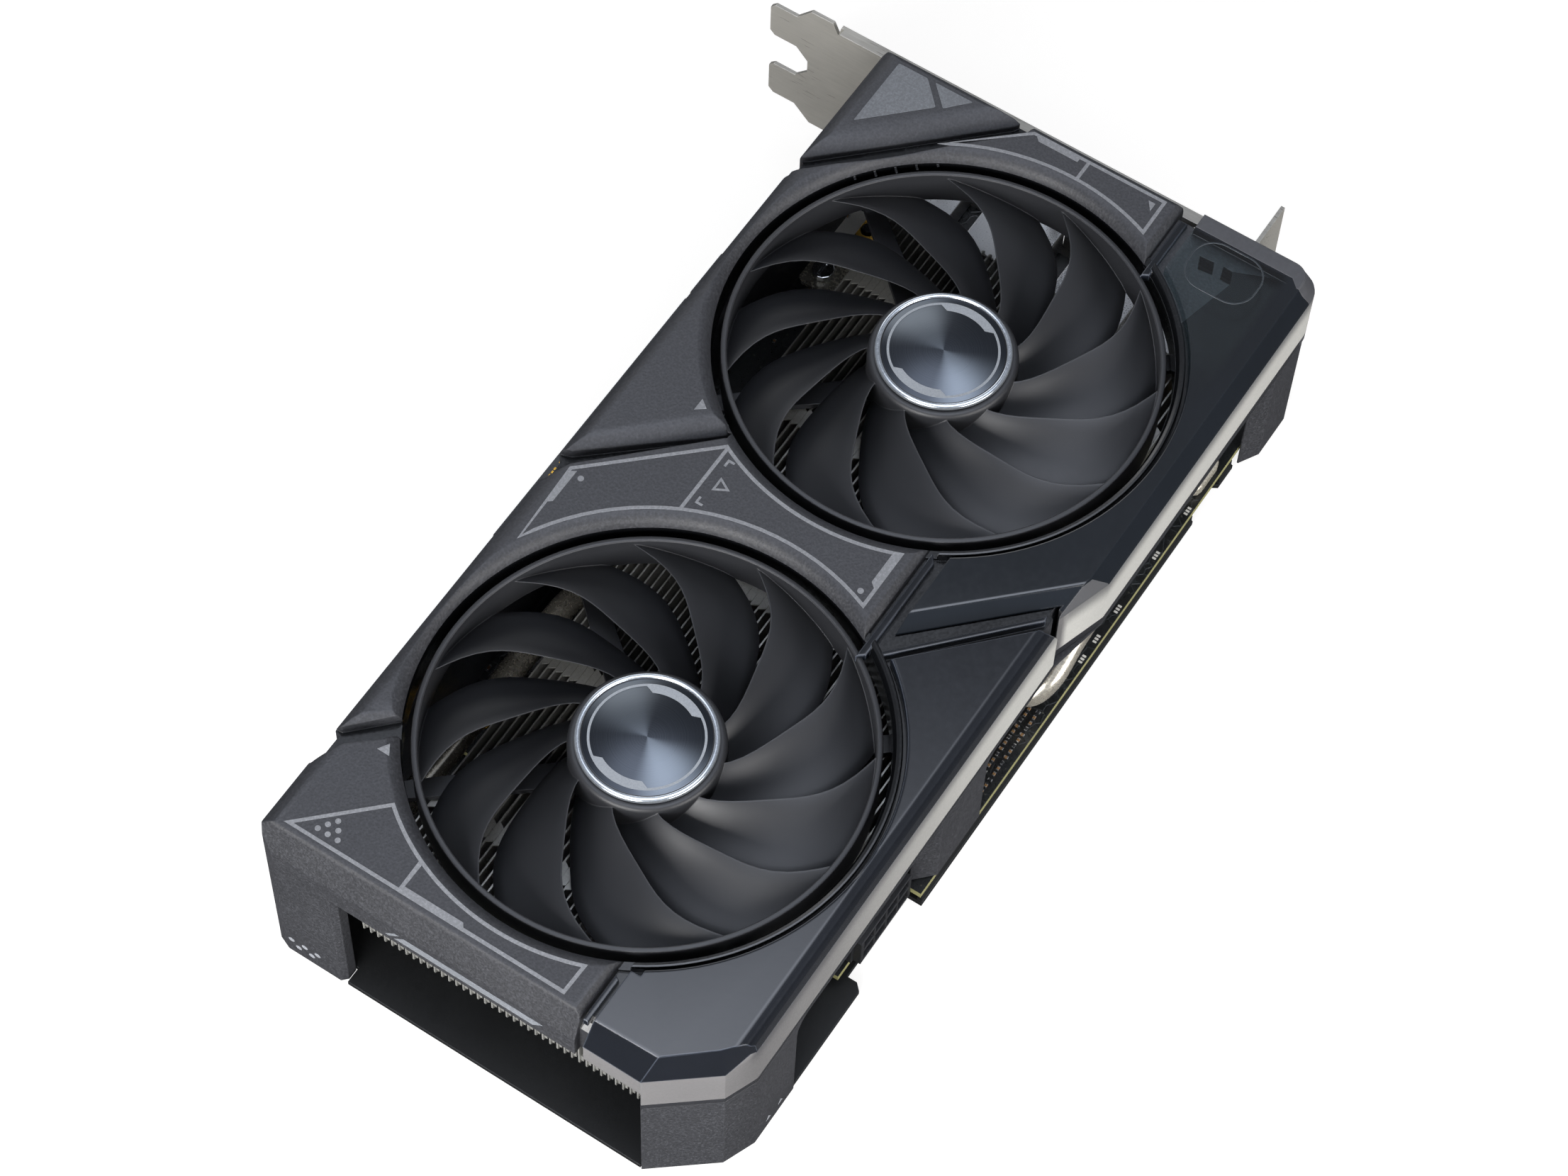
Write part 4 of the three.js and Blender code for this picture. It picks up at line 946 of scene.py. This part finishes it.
# far-end field
far_arc = arc_round(FAN_X, (99.4, 17.6), (99.6, -19.5))
line([*far_arc, (106.4, -19.5), (106.4, 17.6)], closed=True)
far_low_arc = arc_round(FAN_X, (99.0, -19.5), (92.2, -30.6))
line([*far_low_arc, (106.4, -45.0), (106.4, -19.5)], closed=True)
fill([(106.8, -4.6), (105.2, -5.8), (105.2, -19.5), (106.8, -19.5)])
for x, y in ((102.7, -36.2), (104.4, -35.1), (104.4, -37.4), (102.7, -38.6), (104.4, -39.7),
             (101.1, -37.4)):
    dot(x, y, 1.15)
fill([(82.4, -39.0), (84.6, -37.6), (84.6, -40.4)])
# corner field by the bracket
fill(soften([(-108.0, -38.3), (-108.0, -45.4), (-90.2, -45.4), (-102.6, -33.0)], 0.4), mat=1)
fill(soften([(-108.0, -27.2), (-108.0, -36.4), (-103.2, -31.6)], 0.3), mat=1)
place("surface_print", merged(*marks), "card", PRINT, weighted=False)

# marks on the far-end wall, then two triangles on the power-plug side wall
FAR_WALL = (FAR_X - INK_SINK, FAR_X + INK_RISE)
wall_marks = [
    prism_x([(-18.5, 37.6), (13.2, 37.6), (15.6, 40.0), (-16.1, 40.0)], *FAR_WALL, 1),
    prism_x([(-20.6, 37.6), (-19.6, 37.6), (-17.2, 40.0), (-18.2, 40.0)], *FAR_WALL, 1),
]
for y, z in ((-45.5, 5.5), (-42.3, 5.5), (-39.2, 5.5), (-43.9, 3.6), (-40.7, 3.6)):
    wall_marks.append(prism_x(arc(y, z, 0.72, 0, 360, 16)[:-1], *FAR_WALL))
for x in (85.2, 89.4):
    wall_marks.append(prism_y([(x - 0.8, 3.0), (x + 0.8, 3.0), (x, 4.5)],
                              PLUG_SIDE_Y - INK_SINK, PLUG_SIDE_Y + INK_RISE))
place("wall_print", merged(*wall_marks), "card", PRINT, weighted=False)


# ------------------------------------------------------------------ gloss trims
def leaning(low, high, stations):
    """Loft from one outline towards another; stations hold (share of the way, z)."""
    return loft([
        ([(p[0] + (q[0] - p[0]) * share, p[1] + (q[1] - p[1]) * share)
          for p, q in zip(low, high)], z)
        for share, z in stations
    ])


def trim_bore(x):
    """Cutter that clears a trim round a fan, with an eased top edge."""
    return turned([(0, 20), (TRIM_R, 20), (TRIM_R, 49.0), (TRIM_R + 0.2, 49.4),
                   (TRIM_R + 0.7, TOP + 0.01), (TRIM_R + 0.7, 60), (0, 60)], ROUND, x)


# far-end trim: plan at its foot and near its top, (x, y)
REAR_LOW = [(15.9, 26.9), (96, 26.9), (96, 24.6), (FAR_X, 24.6), (FAR_X, 37.4), (100.9, 49.6),
            (94.1, PLUG_SIDE_Y), (-12.0, PLUG_SIDE_Y), (-10.2, 51.0)]
REAR_HIGH = [(16.4, 27.5), (96, 27.5), (96, 25.4), (107.9, 25.4), (107.5, 39.3), (100.3, 47.9),
             (95.3, 51.95), (-7.6, 51.95), (-7.6, 50.3)]
# its rolled edge along the power-plug side: (y, z)
REAR_ROLL = [
    (0, 0), (PLUG_SIDE_Y, 0), (PLUG_SIDE_Y, 44.0), (52.36, 45.2), (52.24, 46.4), (52.02, 47.4),
    (51.7, 48.2), (51.3, 48.8), (50.9, 49.2), (50.45, 49.45), (49.9, 49.58),
    (49.3, TOP + 0.01), (0, TOP + 0.01),
]
REAR_INSIDE = [(-30, -60), (109.1, -60), (109.1, 36.9), (99.9, 48.2), (93.7, 50.85), (-30, 50.85)]
# the light band's share of the trim: (x, y), then (x, z)
REAR_BAND_PLAN = [(-13, 51.7), (93.9, 51.7), (100.4, 49.0), (110.0, 37.1), (110.0, 24.2),
                  (113, 24.2), (113, 60), (-13, 60)]
REAR_BAND_SIDE = [(-40, 31.2), (FAR_X + 1, 31.2), (FAR_X + 1, 41.7), (100.9, 41.7),
                  (94.1, 43.9), (-40, 43.9)]
TRIM_UNDER = DECK + 0.35

rear = leaning(REAR_LOW, REAR_HIGH, [(0, BAND_LOW), (0, 41.7), (0.04, 42.1), (0.92, 49.0),
                                     (0.99, 49.42), (1.12, TOP)])
rear = common(rear, prism_x(REAR_ROLL, -40, 130))
corner = prism_y([(110.2, 43.6), (110.2, 48.6), (104.5, 48.6)], -70, 70)
rear = cut(rear, cut(prism(REAR_INSIDE, 20, TRIM_UNDER), corner), trim_bore(FAN_X),
           above_window(36.4))
band_zone = common(prism(REAR_BAND_PLAN, 20, 60), prism_y(REAR_BAND_SIDE, -70, 70))
rear_band = common(rear, band_zone)
rear = cut(rear, band_zone)


def rear_rule(centre, normal, _):
    """1 on the low outer rim, else 0."""
    outside = centre.y > 48 or centre.x > 100
    return int(centre.z < 31.3 and abs(normal.z) < 0.8 and outside)


place("rear_trim_panel", paint(rear, rear_rule), "card", ["gloss_black", "dark_rim"],
      ["rear_trim"], angle=28)
place("rear_light_band", rear_band, "card", ["satin_band"], angle=28)

# bracket-side trim: the same kinds of tables
FRONT_LOW = [(-112.2, 26.8), (11.2, 26.8), (-13.4, 50.9), (-26.4, PLUG_SIDE_OUTER_Y),
             *arc(-107.2, 50.1, 5.0, 90, 180, 8)]
FRONT_HIGH = [(-110.5, 27.3), (3.2, 27.3), (-21.4, 52.2), (-23.0, 52.6),
              *arc(-106.9, 49.0, 3.6, 90, 180, 8)]
FRONT_INSIDE = [(-108.6, -60), (60, -60), (60, 49.0), (-14, 50.0), (-26.4, 53.4), (-106.6, 53.4),
                (-108.6, 51.4)]
FRONT_SEAM = [(-15.2, 40), (30, 10), (30, 60), (-13.0, 60), (-13.0, 51.2), (-15.2, 51.0)]
FRONT_BAND_PLAN = [(-109.7, 54.7), (-106.9, 54.7), (-26.5, 54.7), (-13.2, 50.4), (-12.0, 60),
                   (-112, 60)]
FRONT_END_PLAN = [(-120, 20), (-106.7, 20), (-106.7, 50.1), (-104.9, 52.1), (-105.2, 53.6),
                  (-106.2, 55.3), (-106.2, 60), (-120, 60)]

front = leaning(FRONT_LOW, FRONT_HIGH, [(0, BAND_LOW), (0, 44.8), (0.06, 45.4), (0.92, 49.0),
                                        (0.985, 49.45), (1.08, TOP)])
front = cut(front, prism(FRONT_INSIDE, 20, TRIM_UNDER), prism(FRONT_SEAM, 20, TRIM_UNDER),
            trim_bore(-FAN_X), trim_bore(FAN_X))
# raised outline on the window, a plain rounded rectangle
emboss = cut(prism(round_rect(-106.2, -93.6, 30.0, 45.9, 5.2, 10), TOP - 0.2, TOP + 0.12),
             prism(round_rect(-105.9, -93.9, 30.3, 45.6, 4.9, 10), TOP - 0.6, TOP + 1))
front = union(front, emboss)
band_zone = prism(FRONT_BAND_PLAN, 32.0, 44.7)
front_band = common(front, band_zone)
front = cut(front, band_zone)
end_zone = prism(FRONT_END_PLAN, 20, 60)
front_end = common(front, end_zone)
front = cut(front, end_zone)


def front_rule(centre, normal, _):
    """1 low rim, 3 embossed outline, painted lighter as a highlight, 4 slanted facet by the seam,
    else 0.
    """
    x, y, z = centre
    steep = abs(normal.z)
    if z > TOP + 0.01 or (z > TOP - 0.01 and steep < 0.3):
        return 3
    if z < 32.5 and y > 48 and steep < 0.9:
        return 1
    if x > -27.5 and y > 44 and normal.x > 0.2 and steep < 0.75 and z < 49.0:
        return 4
    return 0


place("front_trim_panel", paint(front, front_rule), "card",
      ["smoked_gloss", "dark_rim", "edge_grey", "embossed_highlight", "satin_facet"],
      ["front_trim"], angle=28)
# the end rim is painted lighter grey: painted light
place("front_trim_end", front_end, "card", ["edge_grey"], angle=28)
place("front_light_band", front_band, "card", ["satin_band"], angle=28)

# ------------------------------------------------------------------ rotors and caps
# sweep of a blade's leading edge: radius, angle in degrees
SWEEP = [(13.2, -48.6), (14.2, -47), (15.6, -45.0), (18.5, -37.2), (22, -29.8), (26, -23.6),
         (31.2, -17.6), (35.2, -12.4), (39.7, -6.6), (44.3, 1.4)]
SWEEP_CURVE = np.polyfit(*zip(*SWEEP), 5)
# turned profiles: (radius, z)
OUTER_RING = [(43.75, 38.6), (44.0, 38.4), (44.8, 38.4), (RING_R, 38.6), (RING_R, 46.8),
              (44.85, 47.15), (44.5, RING_TOP), (44.05, RING_TOP), (43.8, 47.1), (43.75, 46.7)]
HUB = [(0, 45.0), (13.3, 45.0), (13.3, 36.6), (15.2, 36.6), (15.4, 36.8), (15.4, 45.3),
       (15.25, 45.95), (14.9, 46.4), (14.4, 46.6), (0, 46.6)]
CAP = [(0, 46.9), (13.8, 46.9), (14.0, 47.1), (14.0, 47.45), (13.9, 47.75), (13.65, 47.95),
       (13.35, 48.0), (13.0, 47.97), (12.85, 47.85), (12.8, 47.7), (12.6, 47.66), (12.5, 47.74),
       (0, 47.78)]
CAP_MATS = [0, *[1] * 8, 2, 0, 0, 0]  # spun disc, bright rim, groove painted near-black as painted shade
CAP_INK = (47.72, 47.80)


def blade(tip):
    """One blade; tip is the angle its sweep is measured from, in degrees."""
    rows, steps = 16, 12
    verts = []
    for side in (1, -1):
        for r in np.linspace(14.6, 44.2, rows):
            out = (r - 14.4) / 29.9
            chord = 33 - 6.5 * out + 3.0 * math.exp(-((r - 14.6) / 3.0) ** 2)
            leading = tip + float(np.polyval(SWEEP_CURVE, r))
            for j in range(steps + 1):
                u = j / steps
                a = math.radians(leading - u * chord)
                z = 45.5 + 0.5 * out - 7.2 * u ** 0.92 - 0.5 * math.sin(math.pi * u)
                thick = 0.62 * math.sqrt(max(0.0, 1 - (2 * u - 1) ** 6)) ** 0.9 + 0.1
                verts.append((r * math.cos(a), r * math.sin(a), z + thick * side * 0.62))

    def top(i, j):
        return i * (steps + 1) + j

    def low(i, j):
        return top(i + rows, j)

    faces = []
    for i in range(rows - 1):
        for j in range(steps):
            faces.append((top(i, j), top(i + 1, j), top(i + 1, j + 1), top(i, j + 1)))
            faces.append((low(i, j), low(i, j + 1), low(i + 1, j + 1), low(i + 1, j)))
        faces.append((low(i, 0), low(i + 1, 0), top(i + 1, 0), top(i, 0)))
        faces.append((top(i, steps), top(i + 1, steps), low(i + 1, steps), low(i, steps)))
    end = rows - 1
    for j in range(steps):
        faces.append((top(0, j), top(0, j + 1), low(0, j + 1), low(0, j)))
        faces.append((top(end, j + 1), top(end, j), low(end, j), low(end, j + 1)))
    return outward(build(verts, faces))


def shifted(mesh, x):
    mesh.transform(Matrix.Translation((x, 0, 0)))
    return mesh


def cap_print():
    """Thin ring with a broad arc on either side."""
    low, high = CAP_INK
    pieces = [ribbon(arc(0, 0, 11.25, 0, 360, 96)[:-1], 0.5, low, high, closed=True)]
    for middle in (0, 180):
        start, end = middle - 36, middle + 36
        outline = [*arc(0, 0, 11.5, start, end, 20), *arc(0, 0, 9.6, end - 8, start + 8, 16)]
        pieces.append(prism(outline, low, high + 0.015))
    return merged(*pieces)


# first blade angles differ, so the fans don't stand alike
for tag, x, phase in (("front", -FAN_X, 14.0), ("rear", FAN_X, 20.7)):
    fan = tag + "_fan"
    blades = [blade(phase + 360 * i / BLADES) for i in range(BLADES)]
    rotor = union(turned(OUTER_RING, ROUND), *blades, turned(HUB, 96))
    place("rotor_" + tag, shifted(rotor, x), fan, ["rotor_black"],
          ["fan_rotor_" + tag], angle=38)
    place("cap_" + tag, shifted(turned(CAP, ROUND, mats=CAP_MATS), x), fan,
          ["cap_spun_metal", "cap_bright_rim", "collar_black_and_painted_shade"], ["hub_cap_" + tag],
          angle=50, weighted=False)
    place("cap_print_" + tag, shifted(cap_print(), x), fan, ["cap_print"],
          weighted=False)

# ------------------------------------------------------------------ cooler
FIN_X0, FIN_X1 = -88.0, 105.4
FIN_Y0, FIN_Y1 = -31.0, 43.6
FIN_Z0, FIN_Z1 = 17.2, 33.8
FIN_PITCH, FIN_THICK = 1.68, 0.34
fins = []
fin_count = int((FIN_Y1 - FIN_Y0) / FIN_PITCH)
for i in range(fin_count + 1):
    y = FIN_Y0 + i * FIN_PITCH
    face_y = y + FIN_THICK
    x1 = FIN_X1
    if y > 35.4:  # shorter fins follow the shroud's slanted corner
        x1 = min(FIN_X1, 106.7 - (y - 35.4) * 0.8 - 1.2)
    fins.append(prism_y([
        (FIN_X0, FIN_Z0 + 1.2), (FIN_X0 + 1.2, FIN_Z0), (x1 - 1.2, FIN_Z0), (x1, FIN_Z0 + 1.2),
        (x1, FIN_Z1 - 1.0), (x1 - 1.0, FIN_Z1), (FIN_X0 + 1.0, FIN_Z1), (FIN_X0, FIN_Z1 - 1.0),
    ], y, face_y))
    if i == fin_count:
        break
    # upright tabs at the ends, flat tabs along top and bottom
    for x in (FIN_X0 + 0.3, x1 - 0.9):
        for z0, z1 in ((FIN_Z0 + 1.6, FIN_Z0 + 3.6), (FIN_Z1 - 4.6, FIN_Z1 - 1.6)):
            fins.append(block(x, x + 0.45, face_y, y + 0.95, z0, z1))
    for x in (-70, -34, 6, 40, 78):
        tip_y = y + FIN_PITCH - 0.06
        tab = [(x, face_y), (x + 5, face_y), (x + 4.2, tip_y), (x + 0.8, tip_y)]
        fins.append(prism(tab, FIN_Z1 - 0.4, FIN_Z1))
        fins.append(prism(tab, FIN_Z0, FIN_Z0 + 0.4))
place("fins", merged(*fins), "card", ["fin_aluminium"], ["fin_stack"],
      weighted=False)

PIPE_Z = 13.7
# centre lines: (x, y, z)
PIPES = [
    [(-12, -9, PIPE_Z), (-12, 10, PIPE_Z), (-12, 30, PIPE_Z), (-12, 44, PIPE_Z),
     (-12.6, 48, 14.4), (-16, 50.2, 17.5), (-24, 50.4, 21.5), (-36, 50.3, 23), (-78, 50.3, 23)],
    [(-19.5, 20, PIPE_Z), (-19.5, 0, PIPE_Z), (-17.5, -16, PIPE_Z), (-11, -28, PIPE_Z),
     (0, -35.6, 14.4), (12, -36.6, 19), (26, -36.6, 26), (38, -36.6, 27.6), (92, -36.6, 27.6)],
    [(-27, -18, PIPE_Z), (-27, 10, PIPE_Z), (-31, 22, PIPE_Z), (-42, 28, PIPE_Z),
     (-60, 28.5, PIPE_Z), (-86, 28.5, PIPE_Z)],
    [(-34.5, 13, PIPE_Z), (-34.5, -6, PIPE_Z), (-38.5, -18, PIPE_Z), (-50, -23.6, PIPE_Z),
     (-64, -24, PIPE_Z), (-86, -24, PIPE_Z)],
]
for i, points in enumerate(PIPES, 1):
    pipe = tube(points, radius=2.8, steps=90, segments=24)
    place(f"pipe_{i}", pipe, "card", ["plated_pipe"], [f"heat_pipe_{i}"], angle=50,
          weighted=False)

# ------------------------------------------------------------------ circuit board
NOTCH_X = BRACKET_FACE_X + 57.15
BOARD_PLAN = [
    (-113.6, PCB_SLOT_Y), (-73.5, PCB_SLOT_Y), (-73.5, CONTACT_Y + 1.2), (-72.3, CONTACT_Y),
    (13.2, CONTACT_Y), (14.4, CONTACT_Y + 1.2), (14.4, PCB_SLOT_Y - 2.0),
    (17.6, PCB_SLOT_Y - 2.0), (17.6, CONTACT_Y + 2.4), (21.0, CONTACT_Y + 1.2),
    (28.6, CONTACT_Y + 1.2), (30.2, CONTACT_Y + 2.7), (30.2, PCB_SLOT_Y), (58.0, PCB_SLOT_Y),
    (58.0, 48.0), (33.8, 48.0), (33.8, PCB_PLUG_Y), (-113.6, PCB_PLUG_Y),
]
gpu_holes = rectangle(GPU_X - 21.5, GPU_X + 21.5, GPU_Y - 26, GPU_Y + 26)
back_holes = [(-95.5, 42), (-95.5, -43), (50, -43.5), (27, 43)]
LEG_HOLE = (-76.4, -42.6)
holes = [*gpu_holes, *back_holes, LEG_HOLE, (-111.0, -53.8)]
board = cut(
    prism(BOARD_PLAN, PCB_Z0, PCB_Z1),
    block(NOTCH_X - 0.95, NOTCH_X + 0.95, -80, PCB_SLOT_Y - 0.4, 0, 10),
    merged(*[rod(1.7, 0, 10, x, y, 20) for x, y in holes]),
)
paint(board, lambda centre, normal, index: int(abs(normal.z) <= 0.5))
place("board", board, "card", ["solder_mask", "board_edge"], ["circuit_board"],
      angle=30, weighted=False)

gold = []
for k in range(85):
    x = -71.6 + k
    if abs(x + 0.35 - NOTCH_X) > 1.5:
        outline = rectangle(x, x + 0.7, CONTACT_Y + (1.2 if k % 7 else 2.2), PCB_SLOT_Y - 0.6)
        for z0, z1 in ((PCB_Z1 - 0.02, PCB_Z1 + 0.04), (PCB_Z0 - 0.04, PCB_Z0 + 0.02)):
            gold.append(plate(outline, z0, z1, 0.02, steps=1))
for x, y in [*back_holes, LEG_HOLE]:
    for z0, z1 in ((PCB_Z1 - 0.02, PCB_Z1 + 0.05), (PCB_Z0 - 0.05, PCB_Z0 + 0.02)):
        gold.append(turned([(1.75, z0), (3.0, z0), (3.0, z1), (1.75, z1)], 28, x, y))
place("edge_contacts", merged(*gold), "card", ["gold_plate"], weighted=False)

# small parts; material indices: 0 tinned, 1 ceramic, 2 chip, 3 white legend
parts = []
# areas already in use: centre x, centre y, half width, half height
taken = [
    (-52.5, 18, 9, 10), (-52.5, 1, 9, 10), (GPU_X - 8, 34, 9, 10), (GPU_X + 12, 34, 9, 10),
    (GPU_X, GPU_Y, 19, 19), (-66, 41, 5, 5), (-56, 41, 5, 5), (1, 41, 5, 5), (11, 41, 5, 5),
    (34, -42, 5, 5), (42, -42, 5, 5), (54, -28, 5, 5), (-80.7, 48.8, 7, 4), (44.7, 43, 12, 10),
    (0.4, -45.5, 7, 4), (*LEG_HOLE, 6, 6), (-107, -2.7, 9, 46), (-111, -53.8, 5, 4),
    *[(x, y, 5, 5) for x, y in [*gpu_holes, *back_holes]],
]


def free(x, y, margin):
    return all(abs(x - a) > w + margin or abs(y - b) > h + margin for a, b, w, h in taken)


def small_part(x, y, length, width, height, kind, upright):
    """Chip capacitor ("c") or resistor with tinned ends, along Y if upright, where it is free."""
    if not free(x, y, length / 2):
        return
    half, side = length / 2, width / 2
    taken.append((x, y, side, half) if upright else (x, y, half, side))
    inner = half - 0.24 * length
    core = 1 if kind == "c" else 2
    for start, end, rise, mat in (
        (-inner, inner, height, core),
        (-half, -inner, height * 1.03, 0),
        (inner, half, height * 1.03, 0),
    ):
        if upright:
            outline = rectangle(x - side, x + side, y + start, y + end)
        else:
            outline = rectangle(x + start, x + end, y - side, y + side)
        parts.append(plate(outline, PCB_Z1, PCB_Z1 + rise, 0.05, 1, mat))


for row in range(5):
    for k in range(26):
        small_part(-14 + k * 1.55 + 0.4 * (row % 2), 49.9 - row * 1.9, 1.0, 0.55, 0.45,
                   "c" if (k * 7 + row) % 3 else "r", (k + row) % 4 == 0)
PART_SIZES = [(1.0, 0.5, 0.4), (1.6, 0.8, 0.6), (2.0, 1.25, 0.8)]
for _ in range(320):
    x, y = rng.uniform(-98, 56), rng.uniform(-55, 46)
    size = rng.choice(PART_SIZES)
    small_part(x, y, *size, rng.choice("crc"), rng.random() < 0.5)
# square chips with a white dot in one corner
for _ in range(26):
    x, y = rng.uniform(-92, 52), rng.uniform(-50, 44)
    if free(x, y, 2.6):
        taken.append((x, y, 2.4, 2.4))
        outline = round_rect(x - 2, x + 2, y - 2, y + 2, 0.15, 1)
        parts.append(plate(outline, PCB_Z1, PCB_Z1 + 0.9, 0.08, 1, 2))
        parts.append(rod(0.25, PCB_Z1 + 0.88, PCB_Z1 + 0.93, x - 1.4, y + 1.4, 10, 3))
# groups of three white bars by the plug-side edge
for x in (-73.5, -60.5, -45, -36.5, -30.8):
    for a, b in ((0, 0.5), (0.8, 1.3), (1.6, 2.1)):
        bar = rectangle(x + a, x + b, 50.5, 51.35)
        parts.append(prism(bar, PCB_Z1 - 0.01, PCB_Z1 + 0.03, 3))
place("board_parts", merged(*parts), "card",
      ["tinned", "ceramic_tan", "chip_epoxy", "legend_white"], weighted=False)
# plain white film on the board near the bracket
label = plate(round_rect(-99.0, -84.5, -53.5, -44.8, 0.5, 3), PCB_Z1, PCB_Z1 + 0.06, 0.02, 1)
place("board_label", label, "card", ["label_film"], weighted=False)

# ------------------------------------------------------------------ pieces kept from the CAD
ONE = ("",)
FOUR = ("_1", "_2", "_3", "_4")
FANS = ("_front", "_rear")
# name, endings, material, bevel width in mm, bevel segments
FINISHES = [
    ("slot_bracket", ONE, "nickel", 0.22, 2),
    ("rear_cover", ONE, "cover_black", 0.3, 3),
    ("power_plug", ONE, "plain_black", 0.18, 2),
    ("spring_plate", ONE, "turned_steel", 0.15, 2),
    ("cold_plate", ONE, "copper", 0.4, 2),
    ("cooler_leg", ONE, "leg_nickel", 0.3, 2),
    ("crystal", ONE, "crystal_can", 0.8, 4),
    ("fan_header", ONE, "cream_plastic", 0.15, 2),
    ("fan_cable", ONE, "cable_jacket", 0.0, 0),
    ("gpu_substrate", ONE, "chip_substrate", 0.1, 1),
    ("gpu_die", ONE, "die_silicon", 0.05, 1),
    ("leg_screw", ONE, "turned_steel", 0.2, 2),
    ("bracket_screw", ONE, "turned_steel", 0.2, 2),
    ("memory_chip", FOUR, "chip_epoxy", 0.12, 2),
    ("choke", FOUR, "ferrite_choke", 0.4, 3),
    ("video_port", FOUR, "can_aluminium", 0.2, 2),
    ("cooler_screw", FOUR, "turned_steel", 0.15, 2),
    ("cover_screw", FOUR, "black_steel", 0.2, 2),
    ("capacitor", FOUR[:3], "can_aluminium", 0.25, 2),
    ("fan_shaft", FANS, "turned_steel", 0.15, 2),
    ("magnet_ring", FANS, "ferrite_magnet", 0.1, 1),
    ("fan_mount", FANS, "plain_black", 0.25, 2),
    ("stator", FANS, "winding_copper", 0.2, 2),
    ("bearing", FANS, "sintered_bronze", 0.1, 1),
]


def finish(obj, material, width, segments):
    """Gives a CAD piece its material, clean flats and bevelled edges."""
    obj.data.materials.clear()
    obj.data.materials.append(MATERIALS[material])
    weld = obj.modifiers.new("weld", "WELD")
    weld.merge_threshold = 2e-6
    flats = obj.modifiers.new("flats", "DECIMATE")
    flats.decimate_type = "DISSOLVE"
    flats.angle_limit = math.radians(1.0)
    if width:
        bevel = obj.modifiers.new("edges", "BEVEL")
        bevel.width = width / 1000
        bevel.segments = segments
        bevel.limit_method = "ANGLE"
        bevel.angle_limit = math.radians(38)
        bevel.use_clamp_overlap = True
    obj.modifiers.new("weighted", "WEIGHTED_NORMAL").keep_sharp = True


for stem, endings, *look in FINISHES:
    for ending in endings:
        finish(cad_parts[stem + ending], *look)

# ------------------------------------------------------------------ floor
FLOOR_HALF, FLOOR_Z = 6.0, -0.0003  # metres
floor_plan = rectangle(-FLOOR_HALF, FLOOR_HALF, -FLOOR_HALF, FLOOR_HALF)
floor_mesh = bpy.data.meshes.new("floor")
floor_mesh.from_pydata([(x, y, FLOOR_Z) for x, y in floor_plan], [], [(0, 1, 2, 3)])
floor = bpy.data.objects.new("floor", floor_mesh)
scene.collection.objects.link(floor)


def floor_material():
    """Bright paper to the camera, dark surroundings in mirror-like reflections."""
    s = new_material("floor_paper")
    s.body(s.mix(s.noise(s.coords(), 3), (0.86,) * 3, (0.88,) * 3), rough=0.9)
    rays = s.add("LightPath").outputs
    paper = s.add("Emission", {"Color": (1, 1, 1), "Strength": 1.3}).outputs[0]
    to_camera = s.math("MULTIPLY", rays["Is Camera Ray"], 0.62)
    seen = s.mix_shaders(to_camera, s.bsdf.outputs[0], paper)
    dark = s.add("Emission", {"Color": (0.035, 0.038, 0.045)}).outputs[0]
    s.show(s.mix_shaders(s.math("MULTIPLY", rays["Is Glossy Ray"], 0.9), seen, dark))


floor_material()
floor_mesh.materials.append(MATERIALS["floor_paper"])

# ------------------------------------------------------------------ world, lights, camera
world = bpy.data.worlds.new("studio")
scene.world = world
studio = Shader(world, "OutputWorld")
height = studio.xyz("Generated")[2]


def sky(heights, strengths, tint):
    """Background that runs from one strength to the other between two heights."""
    strength = studio.remap(height, heights, strengths, smooth=True)
    return studio.add("Background", {"Color": tint, "Strength": strength}).outputs[0]


soft = sky(heights=(0.0, 1.0), strengths=(0.24, 0.34), tint=(1.0, 1.0, 1.02))
overhead = sky(heights=(0.86, 0.95), strengths=(0.42, 5.2), tint=(0.90, 0.96, 1.09))
glossy_ray = studio.add("LightPath").outputs["Is Glossy Ray"]
studio.show(studio.mix_shaders(glossy_ray, soft, overhead))


def softbox(name, at, target, size, power, colour=(1, 1, 1)):
    light = bpy.data.lights.new(name, "AREA")
    light.shape = "RECTANGLE"
    light.size, light.size_y = size
    light.energy = power
    light.color = colour
    obj = bpy.data.objects.new(name, light)
    scene.collection.objects.link(obj)
    obj.location = at
    obj.rotation_mode = "QUATERNION"
    obj.rotation_quaternion = (Vector(target) - Vector(at)).to_track_quat("-Z", "Y")


softbox("key", at=(0.72, 0.04, 0.28), target=(0.05, 0, 0.03), size=(0.5, 0.34), power=9.0,
        colour=(1.0, 0.99, 0.98))
softbox("side", at=(0.2, 1.25, 0.36), target=(0, 0, 0.02), size=(1.0, 0.4), power=17.0,
        colour=(1.0, 0.98, 0.96))
softbox("rim", at=(-0.9, -0.9, 0.7), target=(0, 0, 0.03), size=(0.8, 0.5), power=3.0)

lens = bpy.data.cameras.new("camera")
camera = bpy.data.objects.new("camera", lens)
scene.collection.objects.link(camera)
lens.sensor_fit = "HORIZONTAL"
lens.sensor_width = 36
lens.lens = 93.93
lens.shift_x, lens.shift_y = 0.0193, -0.0007
lens.clip_start, lens.clip_end = 0.01, 50
# columns: the camera's right, up and backward directions
CAMERA_AXES = ((-0.5499, -0.7164, 0.4294), (0.835, -0.482, 0.2654), (0.0169, 0.5045, 0.8632))
camera.rotation_mode = "QUATERNION"
camera.rotation_quaternion = Matrix(CAMERA_AXES).to_quaternion()
camera.location = (0.35586, 0.20971, 0.73433)
scene.camera = camera
scene.view_settings.view_transform = "Standard"
scene.view_settings.look = "None"
